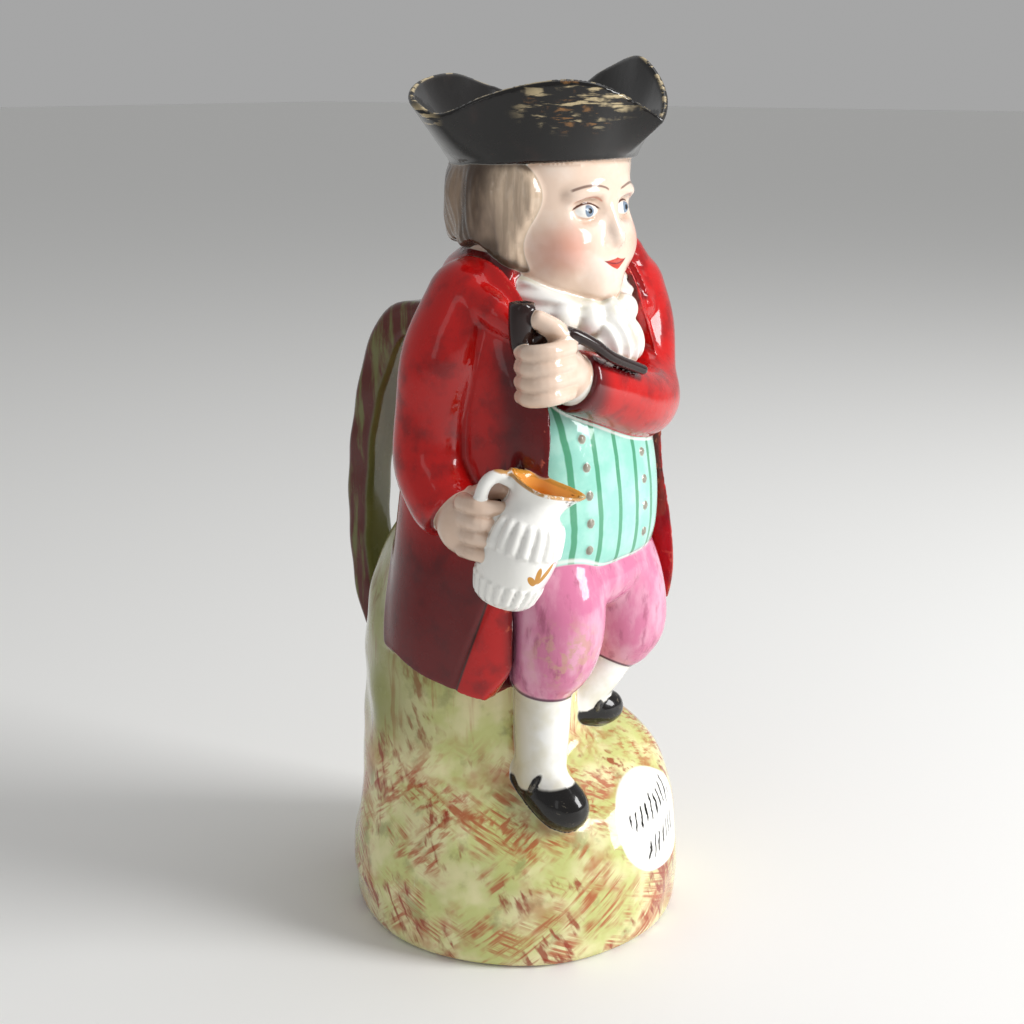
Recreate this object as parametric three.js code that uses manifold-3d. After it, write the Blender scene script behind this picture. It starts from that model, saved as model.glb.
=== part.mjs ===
// A slip-cast earthenware toby jug: a stout man in a three-cornered hat, coat, waistcoat and
// knee breeches, who stands on a mound with a small jug in his right hand and a pipe in his left.
// The whole is one hollow casting. The hat is its mouth and the branch at his back is its handle.
// Millimetres, +Z up. The man looks along -Y, and his left is +X. The origin is the middle of the foot.
import * as THREE from "three";
import { mergeVertices } from "three/addons/utils/BufferGeometryUtils.js";
import Module from "manifold-3d";

// Driving dimensions
const FOOT_RADIUS = 57;
const HAT_FOOT_Z = 254;
const HAT_RADIUS = 29.4;
const HEAD_Y = -10.5;
const CHIN_Z = 213;
const BAND_Z = 88;
const WAIST_Z = 129;
const SHOULDER_Z = 211;
const FLOOR = 6;

const wasm = await Module();
wasm.setup();

const point = ([x, y, z]) => new THREE.Vector3(x, y, z);
const clamp = THREE.MathUtils.clamp;
const radians = THREE.MathUtils.degToRad;

// A closed geometry as a solid that can be joined and cut.
function solidOf(geometry) {
  const bare = geometry.index ? geometry.toNonIndexed() : geometry.clone();
  bare.deleteAttribute("normal");
  bare.deleteAttribute("uv");
  const merged = mergeVertices(bare, 1e-4);
  return new wasm.Manifold(
    new wasm.Mesh({
      numProp: 3,
      vertProperties: merged.attributes.position.array,
      triVerts: new Uint32Array(merged.index.array),
    }),
  );
}

const join = (solids) => solids.reduce((whole, each) => whole.add(each));

// The rows' values at a place along their first column, on a smooth curve through them.
function rowAt(rows, place) {
  const last = rows.length - 1;
  const at = clamp(place, rows[0][0], rows[last][0]);
  let i = 0;
  while (i < last - 1 && rows[i + 1][0] < at) i++;
  const slope = (j, column) => {
    const low = rows[Math.max(j - 1, 0)];
    const high = rows[Math.min(j + 1, last)];
    return (high[column] - low[column]) / (high[0] - low[0]);
  };
  const span = rows[i + 1][0] - rows[i][0];
  const t = (at - rows[i][0]) / span;
  return rows[i].map((from, column) => {
    const to = rows[i + 1][column];
    const rise = span * slope(i, column);
    const fall = span * slope(i + 1, column);
    const swing = t * (1 - t) * ((1 - t) * rise - t * fall);
    return from + (to - from) * t * t * (3 - 2 * t) + swing;
  });
}

// Rings of points, from the lowest to the highest, as one closed skin. An end is closed on its tip.
function skin(rings, firstTip, lastTip) {
  const around = rings[0].length;
  const points = rings.flat();
  const middle = (ring) => ring.reduce((sum, p) => sum.add(p), new THREE.Vector3()).divideScalar(around);
  points.push(firstTip ?? middle(rings[0]), lastTip ?? middle(rings.at(-1)));
  const index = [];
  for (let i = 0; i < around; i++) {
    const next = (i + 1) % around;
    const top = (rings.length - 1) * around;
    for (let low = 0; low < top; low += around) {
      index.push(low + i, low + next, low + around + next);
      index.push(low + i, low + around + next, low + around + i);
    }
    index.push(next, i, points.length - 2);
    index.push(top + i, top + next, points.length - 1);
  }
  const geometry = new THREE.BufferGeometry().setFromPoints(points);
  return solidOf(geometry.setIndex(index));
}

// How far a swelling reaches out at a turn and height. A negative reach is a dent.
function swelling([turn, z, turnSpread, zSpread, reach], angle, height) {
  const off = Math.atan2(Math.sin(angle - radians(turn)), Math.cos(angle - radians(turn)));
  const share = (off / radians(turnSpread)) ** 2 + ((height - z) / zSpread) ** 2;
  return reach * Math.exp(-share);
}

// The radius of a trunk at an angle and height. Rows are z, middle x and y, radii along x and y,
// and squareness, which is 2 for an ellipse.
function trunkRadius(rows, swellings, angle, z) {
  const [, , , rx, ry, square] = rowAt(rows, z);
  const sum = Math.abs(Math.cos(angle) / rx) ** square + Math.abs(Math.sin(angle) / ry) ** square;
  return sum ** (-1 / square) + swellings.reduce((total, s) => total + swelling(s, angle, z), 0);
}

// An upright form with a ring at each row. It can be grown outwards all round.
function trunk(rows, { swellings = [], around = 32, grow = 0 } = {}) {
  const levels = rows.map(([z]) => z);
  return skin(
    levels.map((z) => {
      const [, x, y] = rowAt(rows, z);
      return Array.from({ length: around }, (_, i) => {
        const angle = (2 * Math.PI * i) / around;
        const radius = trunkRadius(rows, swellings, angle, z) + grow;
        return new THREE.Vector3(x + radius * Math.cos(angle), y + radius * Math.sin(angle), z);
      });
    }),
  );
}

// How far towards its tip, in degrees, a limb's round end has its one ring
const CAP_TURN = radians(50);

// A limb with round ends along a smooth path. Rows are x, y, z and radius.
function limb(rows, { around = 10, rings = 6 } = {}) {
  const curve = new THREE.CatmullRomCurve3(rows.map(point));
  const frames = curve.computeFrenetFrames(rings);
  const radii = rows.map(([, , , radius], i) => [i / (rows.length - 1), radius]);
  const ring = (i, ahead, share) => {
    const [, radius] = rowAt(radii, i / rings);
    const middle = curve.getPoint(i / rings).addScaledVector(frames.tangents[i], ahead * radius);
    return Array.from({ length: around }, (_, k) => {
      const angle = (2 * Math.PI * k) / around;
      return middle
        .clone()
        .addScaledVector(frames.normals[i], radius * share * Math.cos(angle))
        .addScaledVector(frames.binormals[i], radius * share * Math.sin(angle));
    });
  };
  const tip = (i, ahead) => {
    const [, radius] = rowAt(radii, i / rings);
    return curve.getPoint(i / rings).addScaledVector(frames.tangents[i], ahead * radius);
  };
  const [rise, reach] = [Math.sin(CAP_TURN), Math.cos(CAP_TURN)];
  const body = Array.from({ length: rings + 1 }, (_, i) => ring(i, 0, 1));
  const all = [ring(0, -rise, reach), ...body, ring(rings, rise, reach)];
  return skin(all, tip(0, -1), tip(rings, 1));
}

// An ellipsoid, turned by degrees about x, y and z in that order.
function blob([x, y, z], [rx, ry, rz], turns = [0, 0, 0], around = 12) {
  const ball = new THREE.SphereGeometry(1, around, Math.round(around * 0.6)).scale(rx, ry, rz);
  turns.forEach((turn, axis) => ball[["rotateX", "rotateY", "rotateZ"][axis]](radians(turn)));
  return solidOf(ball.translate(x, y, z));
}

// The mound: a drum with a domed top, and the tree stump that the man leans on
const DRUM = [
  [0, 0, 0, FOOT_RADIUS - 0.8, FOOT_RADIUS - 0.8, 2],
  [4, 0, 0, FOOT_RADIUS, FOOT_RADIUS, 2],
  [22, 0, 0, FOOT_RADIUS, FOOT_RADIUS, 2],
  [34, 0.5, 0, 55.5, 55, 2],
  [45, 2, 0, 51.5, 50.5, 2],
  [53, 4, 1, 46, 44.5, 2],
  [60, 7, 3, 39, 37, 2],
  [67, 9, 6, 28, 27, 2],
];
const DRUM_SWELLINGS = [
  [232, 60, 26, 12, -3.5],
  [205, 34, 20, 12, -2],
  [262, 30, 26, 14, 1],
  [320, 52, 26, 12, 2],
];
const STUMP = [
  [14, 0, 6, 56, 49, 2],
  [36, 0, 9, 52, 42.5, 2.1],
  [58, 0, 12.5, 47.5, 39.5, 2.3],
  [88, 0, 13.5, 45.5, 37.5, 2.4],
  [106, 0, 14, 42.5, 36.5, 2.3],
  [124, 0, 15, 36, 33, 2.1],
  [136, 0, 16, 28, 26, 2],
  [143, 0, 17, 17, 16, 2],
];
const STUMP_SWELLINGS = [
  [205, 70, 12, 22, -2.5],
  [150, 78, 14, 20, -2],
  [120, 90, 12, 22, 2],
  [60, 80, 14, 24, -2],
];

function mound() {
  return join([
    trunk(DRUM, { swellings: DRUM_SWELLINGS, around: 32 }),
    trunk(STUMP, { swellings: STUMP_SWELLINGS, around: 28 }),
  ]);
}

// The coat: its body and skirts, open at the front
const COAT = [
  [84, 0, 1, 48.5, 40, 2.3],
  [105, 0, 0.5, 47.5, 39, 2.3],
  [125, 0, -1.5, 44.5, 37.5, 2.4],
  [150, 0, -5, 40.5, 37, 2.8],
  [180, 1, -7, 40, 35.5, 2.8],
  [200, 1, -8, 40, 31, 2.4],
  [213, 1, -8, 38.5, 28, 2.1],
  [222, 1, -8, 33, 25, 2],
  [229, 1, -8, 27, 22.5, 2],
];
const COAT_SWELLINGS = [
  [188, 100, 10, 24, -1.5],
  [352, 100, 10, 24, -1.5],
  [332, 112, 26, 24, 5],
  [320, 124, 17, 34, 6.8],
  [229, 160, 13, 42, 1.8],
];
// The hem seen from the side, as y and z. It dips behind the front corner.
const HEM = [
  [-60, 103],
  [-34, 103],
  [-26.5, 107],
  [-21, 96],
  [-16.5, 88.5],
  [0, 93.5],
  [14, 98],
  [60, 106],
];
// The opening seen from the front, as x and z, and the depth that it is cut to
const OPENING = [
  [-36.5, 60],
  [-36, 124],
  [-32.5, 142],
  [-31, 160],
  [-30, 176],
  [-29, 198],
  [-30.5, 210],
  [-30.5, 240],
  [27, 240],
  [23, 206],
  [29, 195],
  [34, 165],
  [38, 140],
  [41, 118],
  [42, 60],
];
const OPENING_Y = -20;
const PRISM_HALF = 80;

// A prism across the figure, from an outline seen from the side
function sidePrism(outline) {
  const shape = new THREE.Shape(outline.map(([y, z]) => new THREE.Vector2(y, z)));
  const prism = new THREE.ExtrudeGeometry(shape, { depth: 2 * PRISM_HALF, bevelEnabled: false });
  return solidOf(prism.translate(0, 0, -PRISM_HALF).rotateX(Math.PI / 2).rotateZ(Math.PI / 2));
}

// A prism through the figure between two depths, from an outline seen from the front
function frontPrism(outline, near, far) {
  const shape = new THREE.Shape(outline.map(([x, z]) => new THREE.Vector2(x, z)));
  const prism = new THREE.ExtrudeGeometry(shape, { depth: far - near, bevelEnabled: false });
  return solidOf(prism.rotateX(Math.PI / 2).translate(0, far, 0));
}

function coat() {
  return trunk(COAT, { swellings: COAT_SWELLINGS, around: 30 })
    .subtract(sidePrism([...HEM, [60, 0], [-60, 0]]))
    .subtract(frontPrism(OPENING, -PRISM_HALF, OPENING_Y));
}

// A raised layer on the coat: the coat grown outwards, kept inside an outline seen from the front
function coatLayer(outline, thickness, near, far) {
  const grown = trunk(COAT, { swellings: COAT_SWELLINGS, around: 30, grow: thickness });
  return grown.intersect(frontPrism(outline, near, far));
}

// Waistcoat, shirt and breeches
const WAISTCOAT = [
  [WAIST_Z - 1, 0, -10, 34, 29, 2.6],
  [WAIST_Z + 3, 0, -10, 37, 33, 2.6],
  [145, 0, -10, 38, 34.5, 2.6],
  [162, 0, -10, 37, 33, 2.6],
  [180, 0, -10, 34, 29, 2.5],
  [191, 0, -10.5, 29, 25, 2.3],
];
const SHIRT = [
  [184, 0, -10, 28, 24, 2.2],
  [192, 0, -10, 30, 26.5, 2.2],
  [202, 0, -11, 29.5, 25, 2.2],
  [211, 0, -12, 27, 22.5, 2.1],
  [217, 0, -12, 22, 18, 2],
];
const RIGHT_THIGH = [
  [-16, -24, 130, 17],
  [-19, -31, 116, 15.5],
  [-20.5, -31, 104, 14.6],
  [-22, -29, BAND_Z + 8, 11.5],
];
const LEFT_THIGH = [
  [16, -22, 130, 17],
  [19.5, -27, 116, 16],
  [21.5, -28.5, 103, 15.2],
  [21, -28, BAND_Z + 9, 13],
];

function breeches() {
  return join([
    limb(RIGHT_THIGH, { around: 13, rings: 4 }),
    limb(LEFT_THIGH, { around: 13, rings: 4 }),
    blob([0, -22, 124], [30, 22, 14]),
  ]);
}

// Stockings and shoes. The right foot stands low at the front, the left one high and further back.
const RIGHT_SHIN = [
  [-22, -28, 92, 9.4],
  [-22.4, -27.8, 78, 9.1],
  [-22.9, -28, 67, 8.5],
  [-23.2, -28, 59, 8],
];
const LEFT_SHIN = [
  [20, -27, 92, 8.8],
  [13, -24, 82, 7.8],
  [7, -21, 74.5, 6.4],
];

// Each shoe's heel, toe and half its width
const RIGHT_SHOE = [[-23.6, -22.6, 58], [-24.2, -38, 51.6], 8.2];
const LEFT_SHOE = [[3, -20.5, 70.8], [16, -25.5, 69.8], 6.3];
// How wide a shoe is from its heel to its tip, as shares
const SHOE_WIDTHS = [
  [0, 0.74],
  [0.5, 0.92],
  [0.9, 1.02],
  [1.08, 0.92],
];

// A low shoe from its heel to its toe, on the ground
function shoe(heel, toe, size) {
  const at = (share) => point(heel).lerp(point(toe), share).toArray();
  const rows = SHOE_WIDTHS.map(([share, width]) => [...at(share), size * width]);
  return limb(rows, { around: 10, rings: 4 });
}

function legs() {
  return join([
    limb(RIGHT_SHIN, { around: 10, rings: 4 }),
    limb(LEFT_SHIN, { around: 10, rings: 3 }),
    shoe(...RIGHT_SHOE),
    shoe(...LEFT_SHOE),
  ]);
}

// Sleeves, hands and what they hold
const RIGHT_SLEEVE = [
  [-30, -5, SHOULDER_Z + 2, 13.5],
  [-37, -1, 197, 13.5],
  [-38.5, 2, 180, 12.5],
  [-40, 2, 164, 12.5],
  [-42.5, -4, 154, 11.5],
  [-44, -9, 150, 10.5],
];
const LEFT_SLEEVE = [
  [38.5, -13.5, SHOULDER_Z - 1.5, 15.5],
  [40.5, -17, 198, 14.8],
  [34.5, -24.5, 184.5, 12.6],
  [25, -33, 178, 12],
  [10, -38, 180, 11.5],
  [-8, -39.5, 186.5, 10.5],
  [-22, -38.8, 191, 9.8],
];

function sleeves() {
  return join([
    limb(RIGHT_SLEEVE, { around: 10, rings: 7 }),
    limb(LEFT_SLEEVE, { around: 10, rings: 8 }),
  ]);
}

const RIGHT_FIST = [-46.4, -17, 148.2];
const LEFT_FIST = [-33.5, -38.8, 197];

// Fingers one above another. Each follows the same bend from a knuckle.
const fingers = (count, [x, y, z], step, bend) =>
  Array.from({ length: count }, (_, i) =>
    limb(
      bend.map(([dx, dy, dz, radius]) => [x + dx, y + dy, z + dz - step * i, radius]),
      { around: 6, rings: 3 },
    ),
  );

function hands() {
  return join([
    blob(RIGHT_FIST, [9, 9.5, 10], [0, 0, 20], 10),
    ...fingers(4, RIGHT_FIST, 4.7, [
      [-5, -3, 8.4, 3.3],
      [-7.2, -9.5, 8.6, 2.9],
      [-1.8, -14, 7.4, 2.6],
    ]),
    blob(LEFT_FIST, [9.5, 7.6, 9.4], [0, 0, 0], 10),
    ...fingers(4, LEFT_FIST, 4.2, [
      [0, -4, 6, 3.6],
      [-8, -4, 6, 3.3],
      [-10, 3, 6, 3],
    ]),
    ...fingers(1, LEFT_FIST, 0, [
      [-1, -2, 8, 3.6],
      [-3, 0, 10.5, 3.5],
      [-5, 2, 13, 3.2],
    ]),
  ]);
}

const PIPE_BOWL = [
  [-39.5, -33, 200.5, 2.6],
  [-40, -33, 205, 3.7],
  [-40, -33, 212, 4],
  [-40, -33, 214, 3.6],
];
const PIPE_STEM = [
  [-38, -34, 203, 2.4],
  [-35, -39.5, 207.6, 2.2],
  [-31, -44.3, 207.2, 2],
  [-23.9, -47, 203.6, 1.9],
  [-15.6, -48.5, 198.5, 1.8],
  [-0.8, -49.5, 192.8, 1.6],
];

function pipe() {
  return join([
    limb(PIPE_BOWL, { around: 8, rings: 3 }),
    limb(PIPE_STEM, { around: 6, rings: 7 }),
  ]);
}

// The small jug, made upright on its own axis, then leant and put in the right hand. Its mouth is
// a shallow dish and its spout points along its own +X. Rows are height and radius.
const JUG_FOOT = [-44, -28.4, 125.6];
const JUG_TIP = 8;
const JUG_LEAN = 16;
const JUG_HEADING = -38;
const JUG_FLUTES = 13;
const FLUTE_DEPTH = 0.7;
const FLUTED_LEVELS = [7, 20, 28];
const JUG_LEVELS = [0, 1.5, 7, 8.8, 18.5, 20, 28, 29.5, 35];
const JUG_LIP_Z = 39.5;
const LIP_WIDTH = 1.4;
const DISH_WIDTH = 3.6;
const DISH_DEPTH = 1.8;
const SPOUT_Z = 31;
const JUG = [
  [0, 8.2],
  [2, 9.2],
  [7, 10.6],
  [13, 12],
  [19, 12.4],
  [26, 11.4],
  [31, 8.6],
  [35, 8.2],
  [39, 9.6],
  [41.5, 11],
];
const JUG_GRIP = [
  [-7, 0, 37.5, 2.1],
  [-13.5, 0, 38.5, 2.1],
  [-16.5, 0, 34, 2.1],
  [-15, 0, 24, 2.1],
  [-10, 0, 17, 2.1],
];

// How far the small jug's lip rises at an angle: a little at the spout, more at the back
const lipRise = (angle) => (Math.cos(angle) > 0 ? -0.6 : 1.8) * Math.cos(angle) ** 2;

function smallJug() {
  const around = JUG_FLUTES * 2;
  const spout = (angle, z) => Math.max(0, z - SPOUT_Z) * 0.78 * Math.max(0, Math.cos(angle)) ** 7;
  const ring = (z, inset, rise) =>
    Array.from({ length: around }, (_, i) => {
      const angle = (2 * Math.PI * i) / around;
      const groove = FLUTED_LEVELS.includes(z) && i % 2 ? FLUTE_DEPTH : 0;
      const radius = rowAt(JUG, z)[1] + spout(angle, z) - groove - inset;
      const height = z + rise(angle);
      return new THREE.Vector3(radius * Math.cos(angle), radius * Math.sin(angle), height);
    });
  const body = skin([
    ...JUG_LEVELS.map((z) => ring(z, 0, () => 0)),
    ring(JUG_LIP_Z, 0, lipRise),
    ring(JUG_LIP_Z, LIP_WIDTH, lipRise),
    ring(JUG_LIP_Z, DISH_WIDTH, (angle) => lipRise(angle) - DISH_DEPTH),
  ]);
  const turn = new THREE.Euler(radians(JUG_TIP), radians(JUG_LEAN), radians(JUG_HEADING), "ZYX");
  const place = new THREE.Matrix4().makeRotationFromEuler(turn).setPosition(...JUG_FOOT);
  return body.add(limb(JUG_GRIP, { around: 6, rings: 6 })).transform(place.elements);
}

// Head, face, hair and neckcloth
const HEAD = [
  [CHIN_Z, 0, HEAD_Y - 5, 15, 14, 2],
  [CHIN_Z + 4, 0, HEAD_Y - 3.5, 22, 20, 2],
  [CHIN_Z + 12, 0, HEAD_Y - 1, 26, 25.5, 2],
  [CHIN_Z + 26, 0, HEAD_Y, 27, 27, 2],
  [CHIN_Z + 38, 0, HEAD_Y, 27.5, 27.5, 2],
  [HAT_FOOT_Z + 3, 0, HEAD_Y, 27.5, 27.5, 2],
];

const FACE_Y = HEAD_Y - 26;
const NOSE = [
  [0, FACE_Y + 2.5, CHIN_Z + 30, 2],
  [0, FACE_Y + 0.5, CHIN_Z + 25, 2.4],
  [0, FACE_Y - 1.2, CHIN_Z + 20.5, 3],
];
const CHEEK_X = 11;

function face() {
  const cheek = (x) => blob([x, FACE_Y + 9.2, CHIN_Z + 16.5], [9.5, 8.8, 8.5], [0, 0, 0], 10);
  const chin = blob([0, FACE_Y + 6, CHIN_Z + 5], [8, 7, 5.5], [0, 0, 0], 10);
  const mouth = blob([0, FACE_Y + 2, CHIN_Z + 12], [5.5, 2.6, 1.8], [0, 0, 0], 8);
  return join([
    trunk(HEAD, { around: 22 }),
    limb(NOSE, { around: 8, rings: 3 }),
    cheek(-CHEEK_X),
    cheek(CHEEK_X),
    chin,
    mouth,
  ]);
}

// A wavy bob to the collar: a trunk round the head whose waves are swellings
const HAIR = [
  [217, 0, HEAD_Y, 27, 27, 2],
  [223, 0, HEAD_Y, 29.5, 29.5, 2],
  [230, 0, HEAD_Y, 29.3, 29.6, 2],
  [246, 0, HEAD_Y, 30.2, 31, 2],
  [253, 0, HEAD_Y, 29, 29.4, 2],
  [257, 0, HEAD_Y, 27, 27, 2],
];
const HAIR_WAVES = Array.from({ length: 9 }, (_, i) => [-20 + 27.5 * i, 238, 8, 30, 0.9]);
// What is cut off in front of the hair and under it, seen from the side, as y and z
const HAIR_CUT = [
  [-60, 262],
  [HEAD_Y - 13.5, 262],
  [HEAD_Y - 12, 250],
  [HEAD_Y - 15.5, 240],
  [HEAD_Y - 11.5, 230],
  [HEAD_Y - 14, 222],
  [HEAD_Y + 4, 229.5],
  [40, 229.5],
  [40, 200],
  [-60, 200],
];

function hair() {
  return trunk(HAIR, { swellings: HAIR_WAVES, around: 27 }).subtract(sidePrism(HAIR_CUT));
}

const NECKCLOTH = [
  [204, 0, -15, 25, 20, 2.1],
  [211, 0, -14.5, 28, 23.5, 2.1],
  [218, 0, -14, 27.5, 22.5, 2],
  [222.5, 0, -13.5, 25.5, 20.5, 2],
];
// What is cut off above the neckcloth under the chin, seen from the side
const CHIN_CUT = [
  [-60, 260],
  [-60, 198],
  [-20, 222],
  [0, 234],
  [0, 260],
];
const RUFFLES = [
  [-16.5, -30.5, 208.5],
  [-8, -34.5, 208.2],
  [1, -36.4, 208.6],
  [9.5, -35.2, 209],
];
const FRILL = [3.5, -36.5, 199.5];

function neckcloth() {
  return join([
    trunk(NECKCLOTH, { around: 20 }).subtract(sidePrism(CHIN_CUT)),
    trunk(SHIRT, { around: 20 }),
    ...RUFFLES.map((at) => blob(at, [5.6, 4, 4.8], [0, 0, 0], 7)),
    blob(FRILL, [13.5, 6.8, 8.6], [0, 0, 0], 11),
  ]);
}

// The three-cornered hat: an open dish whose brim turns up between its corners. Rows are turn in
// degrees, radius and height of the rim.
const BRIM_THICKNESS = 3.2;
const BRIM_FLARE = 0.88;
const HAT_LIFT = 1.8;
const HAT_TILT = 0.055;
const BRIM_START = -86;
const BRIM = [
  [BRIM_START, 42.5, 268.4],
  [-55, 37, 279],
  [-28, 34.5, 286.2],
  [5, 38, 282],
  [34, 43.5, 272],
  [65, 38, 277],
  [96, 35.5, 281],
  [130, 40.5, 278],
  [154, 44.5, 273],
  [168, 42.3, 269.6],
  [187, 37.3, 274.4],
  [204, 34.8, 277.4],
  [227, 34.4, 279.2],
  [244, 36.2, 278],
  [260, 37.6, 274.2],
  [BRIM_START + 360, 42.5, 268.4],
];

function brimEdge(angle) {
  const turn = ((THREE.MathUtils.radToDeg(angle) - BRIM_START) % 360) + BRIM_START;
  const [, radius, z] = rowAt(BRIM, turn);
  return { radius, z };
}

function hat() {
  const around = 32;
  const ring = (share, inset, lift) =>
    Array.from({ length: around }, (_, i) => {
      const angle = (2 * Math.PI * i) / around;
      const edge = brimEdge(angle);
      const radius = HAT_RADIUS + (edge.radius - HAT_RADIUS) * share ** BRIM_FLARE - inset;
      const foot = HAT_FOOT_Z + HAT_LIFT - HAT_TILT * HAT_RADIUS * Math.sin(angle);
      const z = foot + (edge.z - foot) * share + lift;
      return new THREE.Vector3(radius * Math.cos(angle), HEAD_Y + radius * Math.sin(angle), z);
    });
  const outer = [ring(0, 1.5, -1.5), ...[0, 0.35, 0.7, 0.96].map((share) => ring(share, 0, 0))];
  const inner = [0.97, 0.7, 0.35, 0.12].map((share) => ring(share, BRIM_THICKNESS, 0));
  return skin([...outer, ring(1, BRIM_THICKNESS / 2, 0), ...inner]);
}

// The handle: a squarish branch from the man's collar down to the mound. Rows are x, y, z and
// half its depth.
const HANDLE_BREADTH = 15;
const HANDLE_ROUNDNESS = 0.7;
const HANDLE = [
  [0, 22, 201, 6],
  [0, 38, 201, 6],
  [0, 49.5, 197.3, 6.5],
  [0, 58.5, 181, 6.5],
  [0, 65, 157, 6],
  [0, 68, 130, 5.5],
  [0, 67, 108, 5.5],
  [0, 61.5, 90, 5.5],
  [0, 49, 75, 6],
];

function handle() {
  const curve = new THREE.CatmullRomCurve3(HANDLE.map(point));
  const depths = HANDLE.map(([, , , depth], i) => [i / (HANDLE.length - 1), depth]);
  const rings = 16;
  const corners = 10;
  const body = Array.from({ length: rings + 1 }, (_, i) => {
    const middle = curve.getPoint(i / rings);
    const along = curve.getTangent(i / rings);
    const out = new THREE.Vector3(0, -along.z, along.y);
    const [, depth] = rowAt(depths, i / rings);
    return Array.from({ length: corners }, (_, k) => {
      const angle = (2 * Math.PI * k) / corners;
      const round = (v) => Math.sign(v) * Math.abs(v) ** HANDLE_ROUNDNESS;
      return middle
        .clone()
        .addScaledVector(out, -depth * round(Math.cos(angle)))
        .add(new THREE.Vector3((-HANDLE_BREADTH / 2) * round(Math.sin(angle)), 0, 0));
    });
  });
  return skin(body);
}

// The hollow: it follows the outer form from the floor up to the bottom of the hat
const HOLLOW = [
  [FLOOR, 0, 0, 51, 51, 2],
  [24, 0, 0, 52, 52, 2],
  [36, 0, 1, 49, 49, 2],
  [50, 0, 6, 42.7, 39.5, 2.2],
  [62, 0, 12.5, 42.5, 33.5, 2.3],
  [90, 0, 13, 40, 31.5, 2.4],
  [115, 0, 9, 35, 29.5, 2.3],
  [135, 0, 0, 33, 29, 2.3],
  [165, 0, -7, 33, 29, 2.4],
  [190, 0, -9, 31, 25, 2.3],
  [205, 0, -11, 24, 19, 2],
  [214, 0, -12, 19.5, 17.5, 2],
  [226, 0, HEAD_Y, 20.5, 20.5, 2],
  [244, 0, HEAD_Y, 23.5, 23.5, 2],
  [263, 0, HEAD_Y, 25, 25, 2],
];

function hollow() {
  return trunk(HOLLOW, { around: 20 });
}

// The collar: a roll around the neck, and flaps on the chest as outlines seen from the front
const COLLAR = [
  [-33.5, -26, 207, 3.5],
  [-35, -18, 212.5, 5.5],
  [-32.5, -5, 217, 6.5],
  [-18, 8, 220.5, 6],
  [0, 13, 222, 6],
  [18, 8, 222, 6],
  [33, -2, 224, 8],
  [37, -13, 220.5, 10],
  [32, -26, 207, 5],
];
const RIGHT_FLAP = [
  [-30.5, 233],
  [-37, 225],
  [-40.5, 216],
  [-39, 210.5],
  [-36.5, 208.5],
  [-33, 209.3],
  [-30.5, 211.5],
];
const LEFT_FLAP = RIGHT_FLAP.map(([x, z]) => [-x, z]).reverse();
const FLAP_THICKNESS = 2.2;
const FLAP_BACK_Y = -4;

function collar() {
  return join([
    limb(COLLAR, { around: 8, rings: 11 }),
    coatLayer(RIGHT_FLAP, FLAP_THICKNESS, -PRISM_HALF, FLAP_BACK_Y),
    coatLayer(LEFT_FLAP, FLAP_THICKNESS, -PRISM_HALF, FLAP_BACK_Y),
  ]);
}

const outside = join([
  mound(),
  coat(),
  collar(),
  trunk(WAISTCOAT, { around: 22 }),
  breeches(),
  legs(),
  sleeves(),
  hands(),
  pipe(),
  smallJug(),
  neckcloth(),
  face(),
  hair(),
  hat(),
  handle(),
]);

// The skin alone: pockets that the joined forms shut in are filled
const bodies = outside.decompose();
const filled = bodies.reduce((best, each) => (each.volume() > best.volume() ? each : best));
const jug = filled.subtract(hollow());

// A solid as a mesh for the scene
function meshOf(solid, name, material) {
  const made = solid.getMesh();
  const geometry = new THREE.BufferGeometry();
  geometry.setAttribute("position", new THREE.BufferAttribute(made.vertProperties, 3));
  geometry.setIndex(new THREE.BufferAttribute(made.triVerts, 1));
  geometry.computeVertexNormals();
  const mesh = new THREE.Mesh(geometry, material);
  mesh.name = name;
  return mesh;
}

const glaze = new THREE.MeshStandardMaterial({ color: 0xb3222a, roughness: 0.15, metalness: 0 });
const group = new THREE.Group();
group.add(meshOf(jug, "toby_jug", glaze));

export default group;
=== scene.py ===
"""The looks of a hollow, hand-painted earthenware toby jug, built as one smooth glazed skin.

Every form is a signed distance in millimetres, in the row's own frame: +Z up, the man looks along -Y
and his left is +X. The forms blend into one field, which is meshed once and painted by region.
"""
import math

import bpy
import numpy as np
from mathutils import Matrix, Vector


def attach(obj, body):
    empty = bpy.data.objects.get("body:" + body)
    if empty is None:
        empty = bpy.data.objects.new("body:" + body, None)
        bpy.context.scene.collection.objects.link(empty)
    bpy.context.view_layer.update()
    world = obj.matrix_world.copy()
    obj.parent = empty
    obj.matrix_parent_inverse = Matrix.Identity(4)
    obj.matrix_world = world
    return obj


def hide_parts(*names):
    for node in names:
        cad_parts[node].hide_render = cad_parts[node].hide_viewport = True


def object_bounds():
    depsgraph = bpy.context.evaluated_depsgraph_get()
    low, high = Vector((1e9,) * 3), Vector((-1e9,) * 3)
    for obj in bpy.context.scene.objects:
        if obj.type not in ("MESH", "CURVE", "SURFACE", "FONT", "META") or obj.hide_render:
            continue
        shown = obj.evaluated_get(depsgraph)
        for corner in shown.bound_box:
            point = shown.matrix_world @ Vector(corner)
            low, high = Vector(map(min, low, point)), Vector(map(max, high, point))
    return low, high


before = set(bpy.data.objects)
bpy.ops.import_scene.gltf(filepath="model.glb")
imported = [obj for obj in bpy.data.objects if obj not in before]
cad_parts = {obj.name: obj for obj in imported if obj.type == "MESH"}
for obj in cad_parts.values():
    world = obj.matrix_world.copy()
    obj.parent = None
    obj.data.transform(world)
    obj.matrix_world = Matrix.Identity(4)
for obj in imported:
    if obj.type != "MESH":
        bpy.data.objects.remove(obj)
cad_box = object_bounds()

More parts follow.
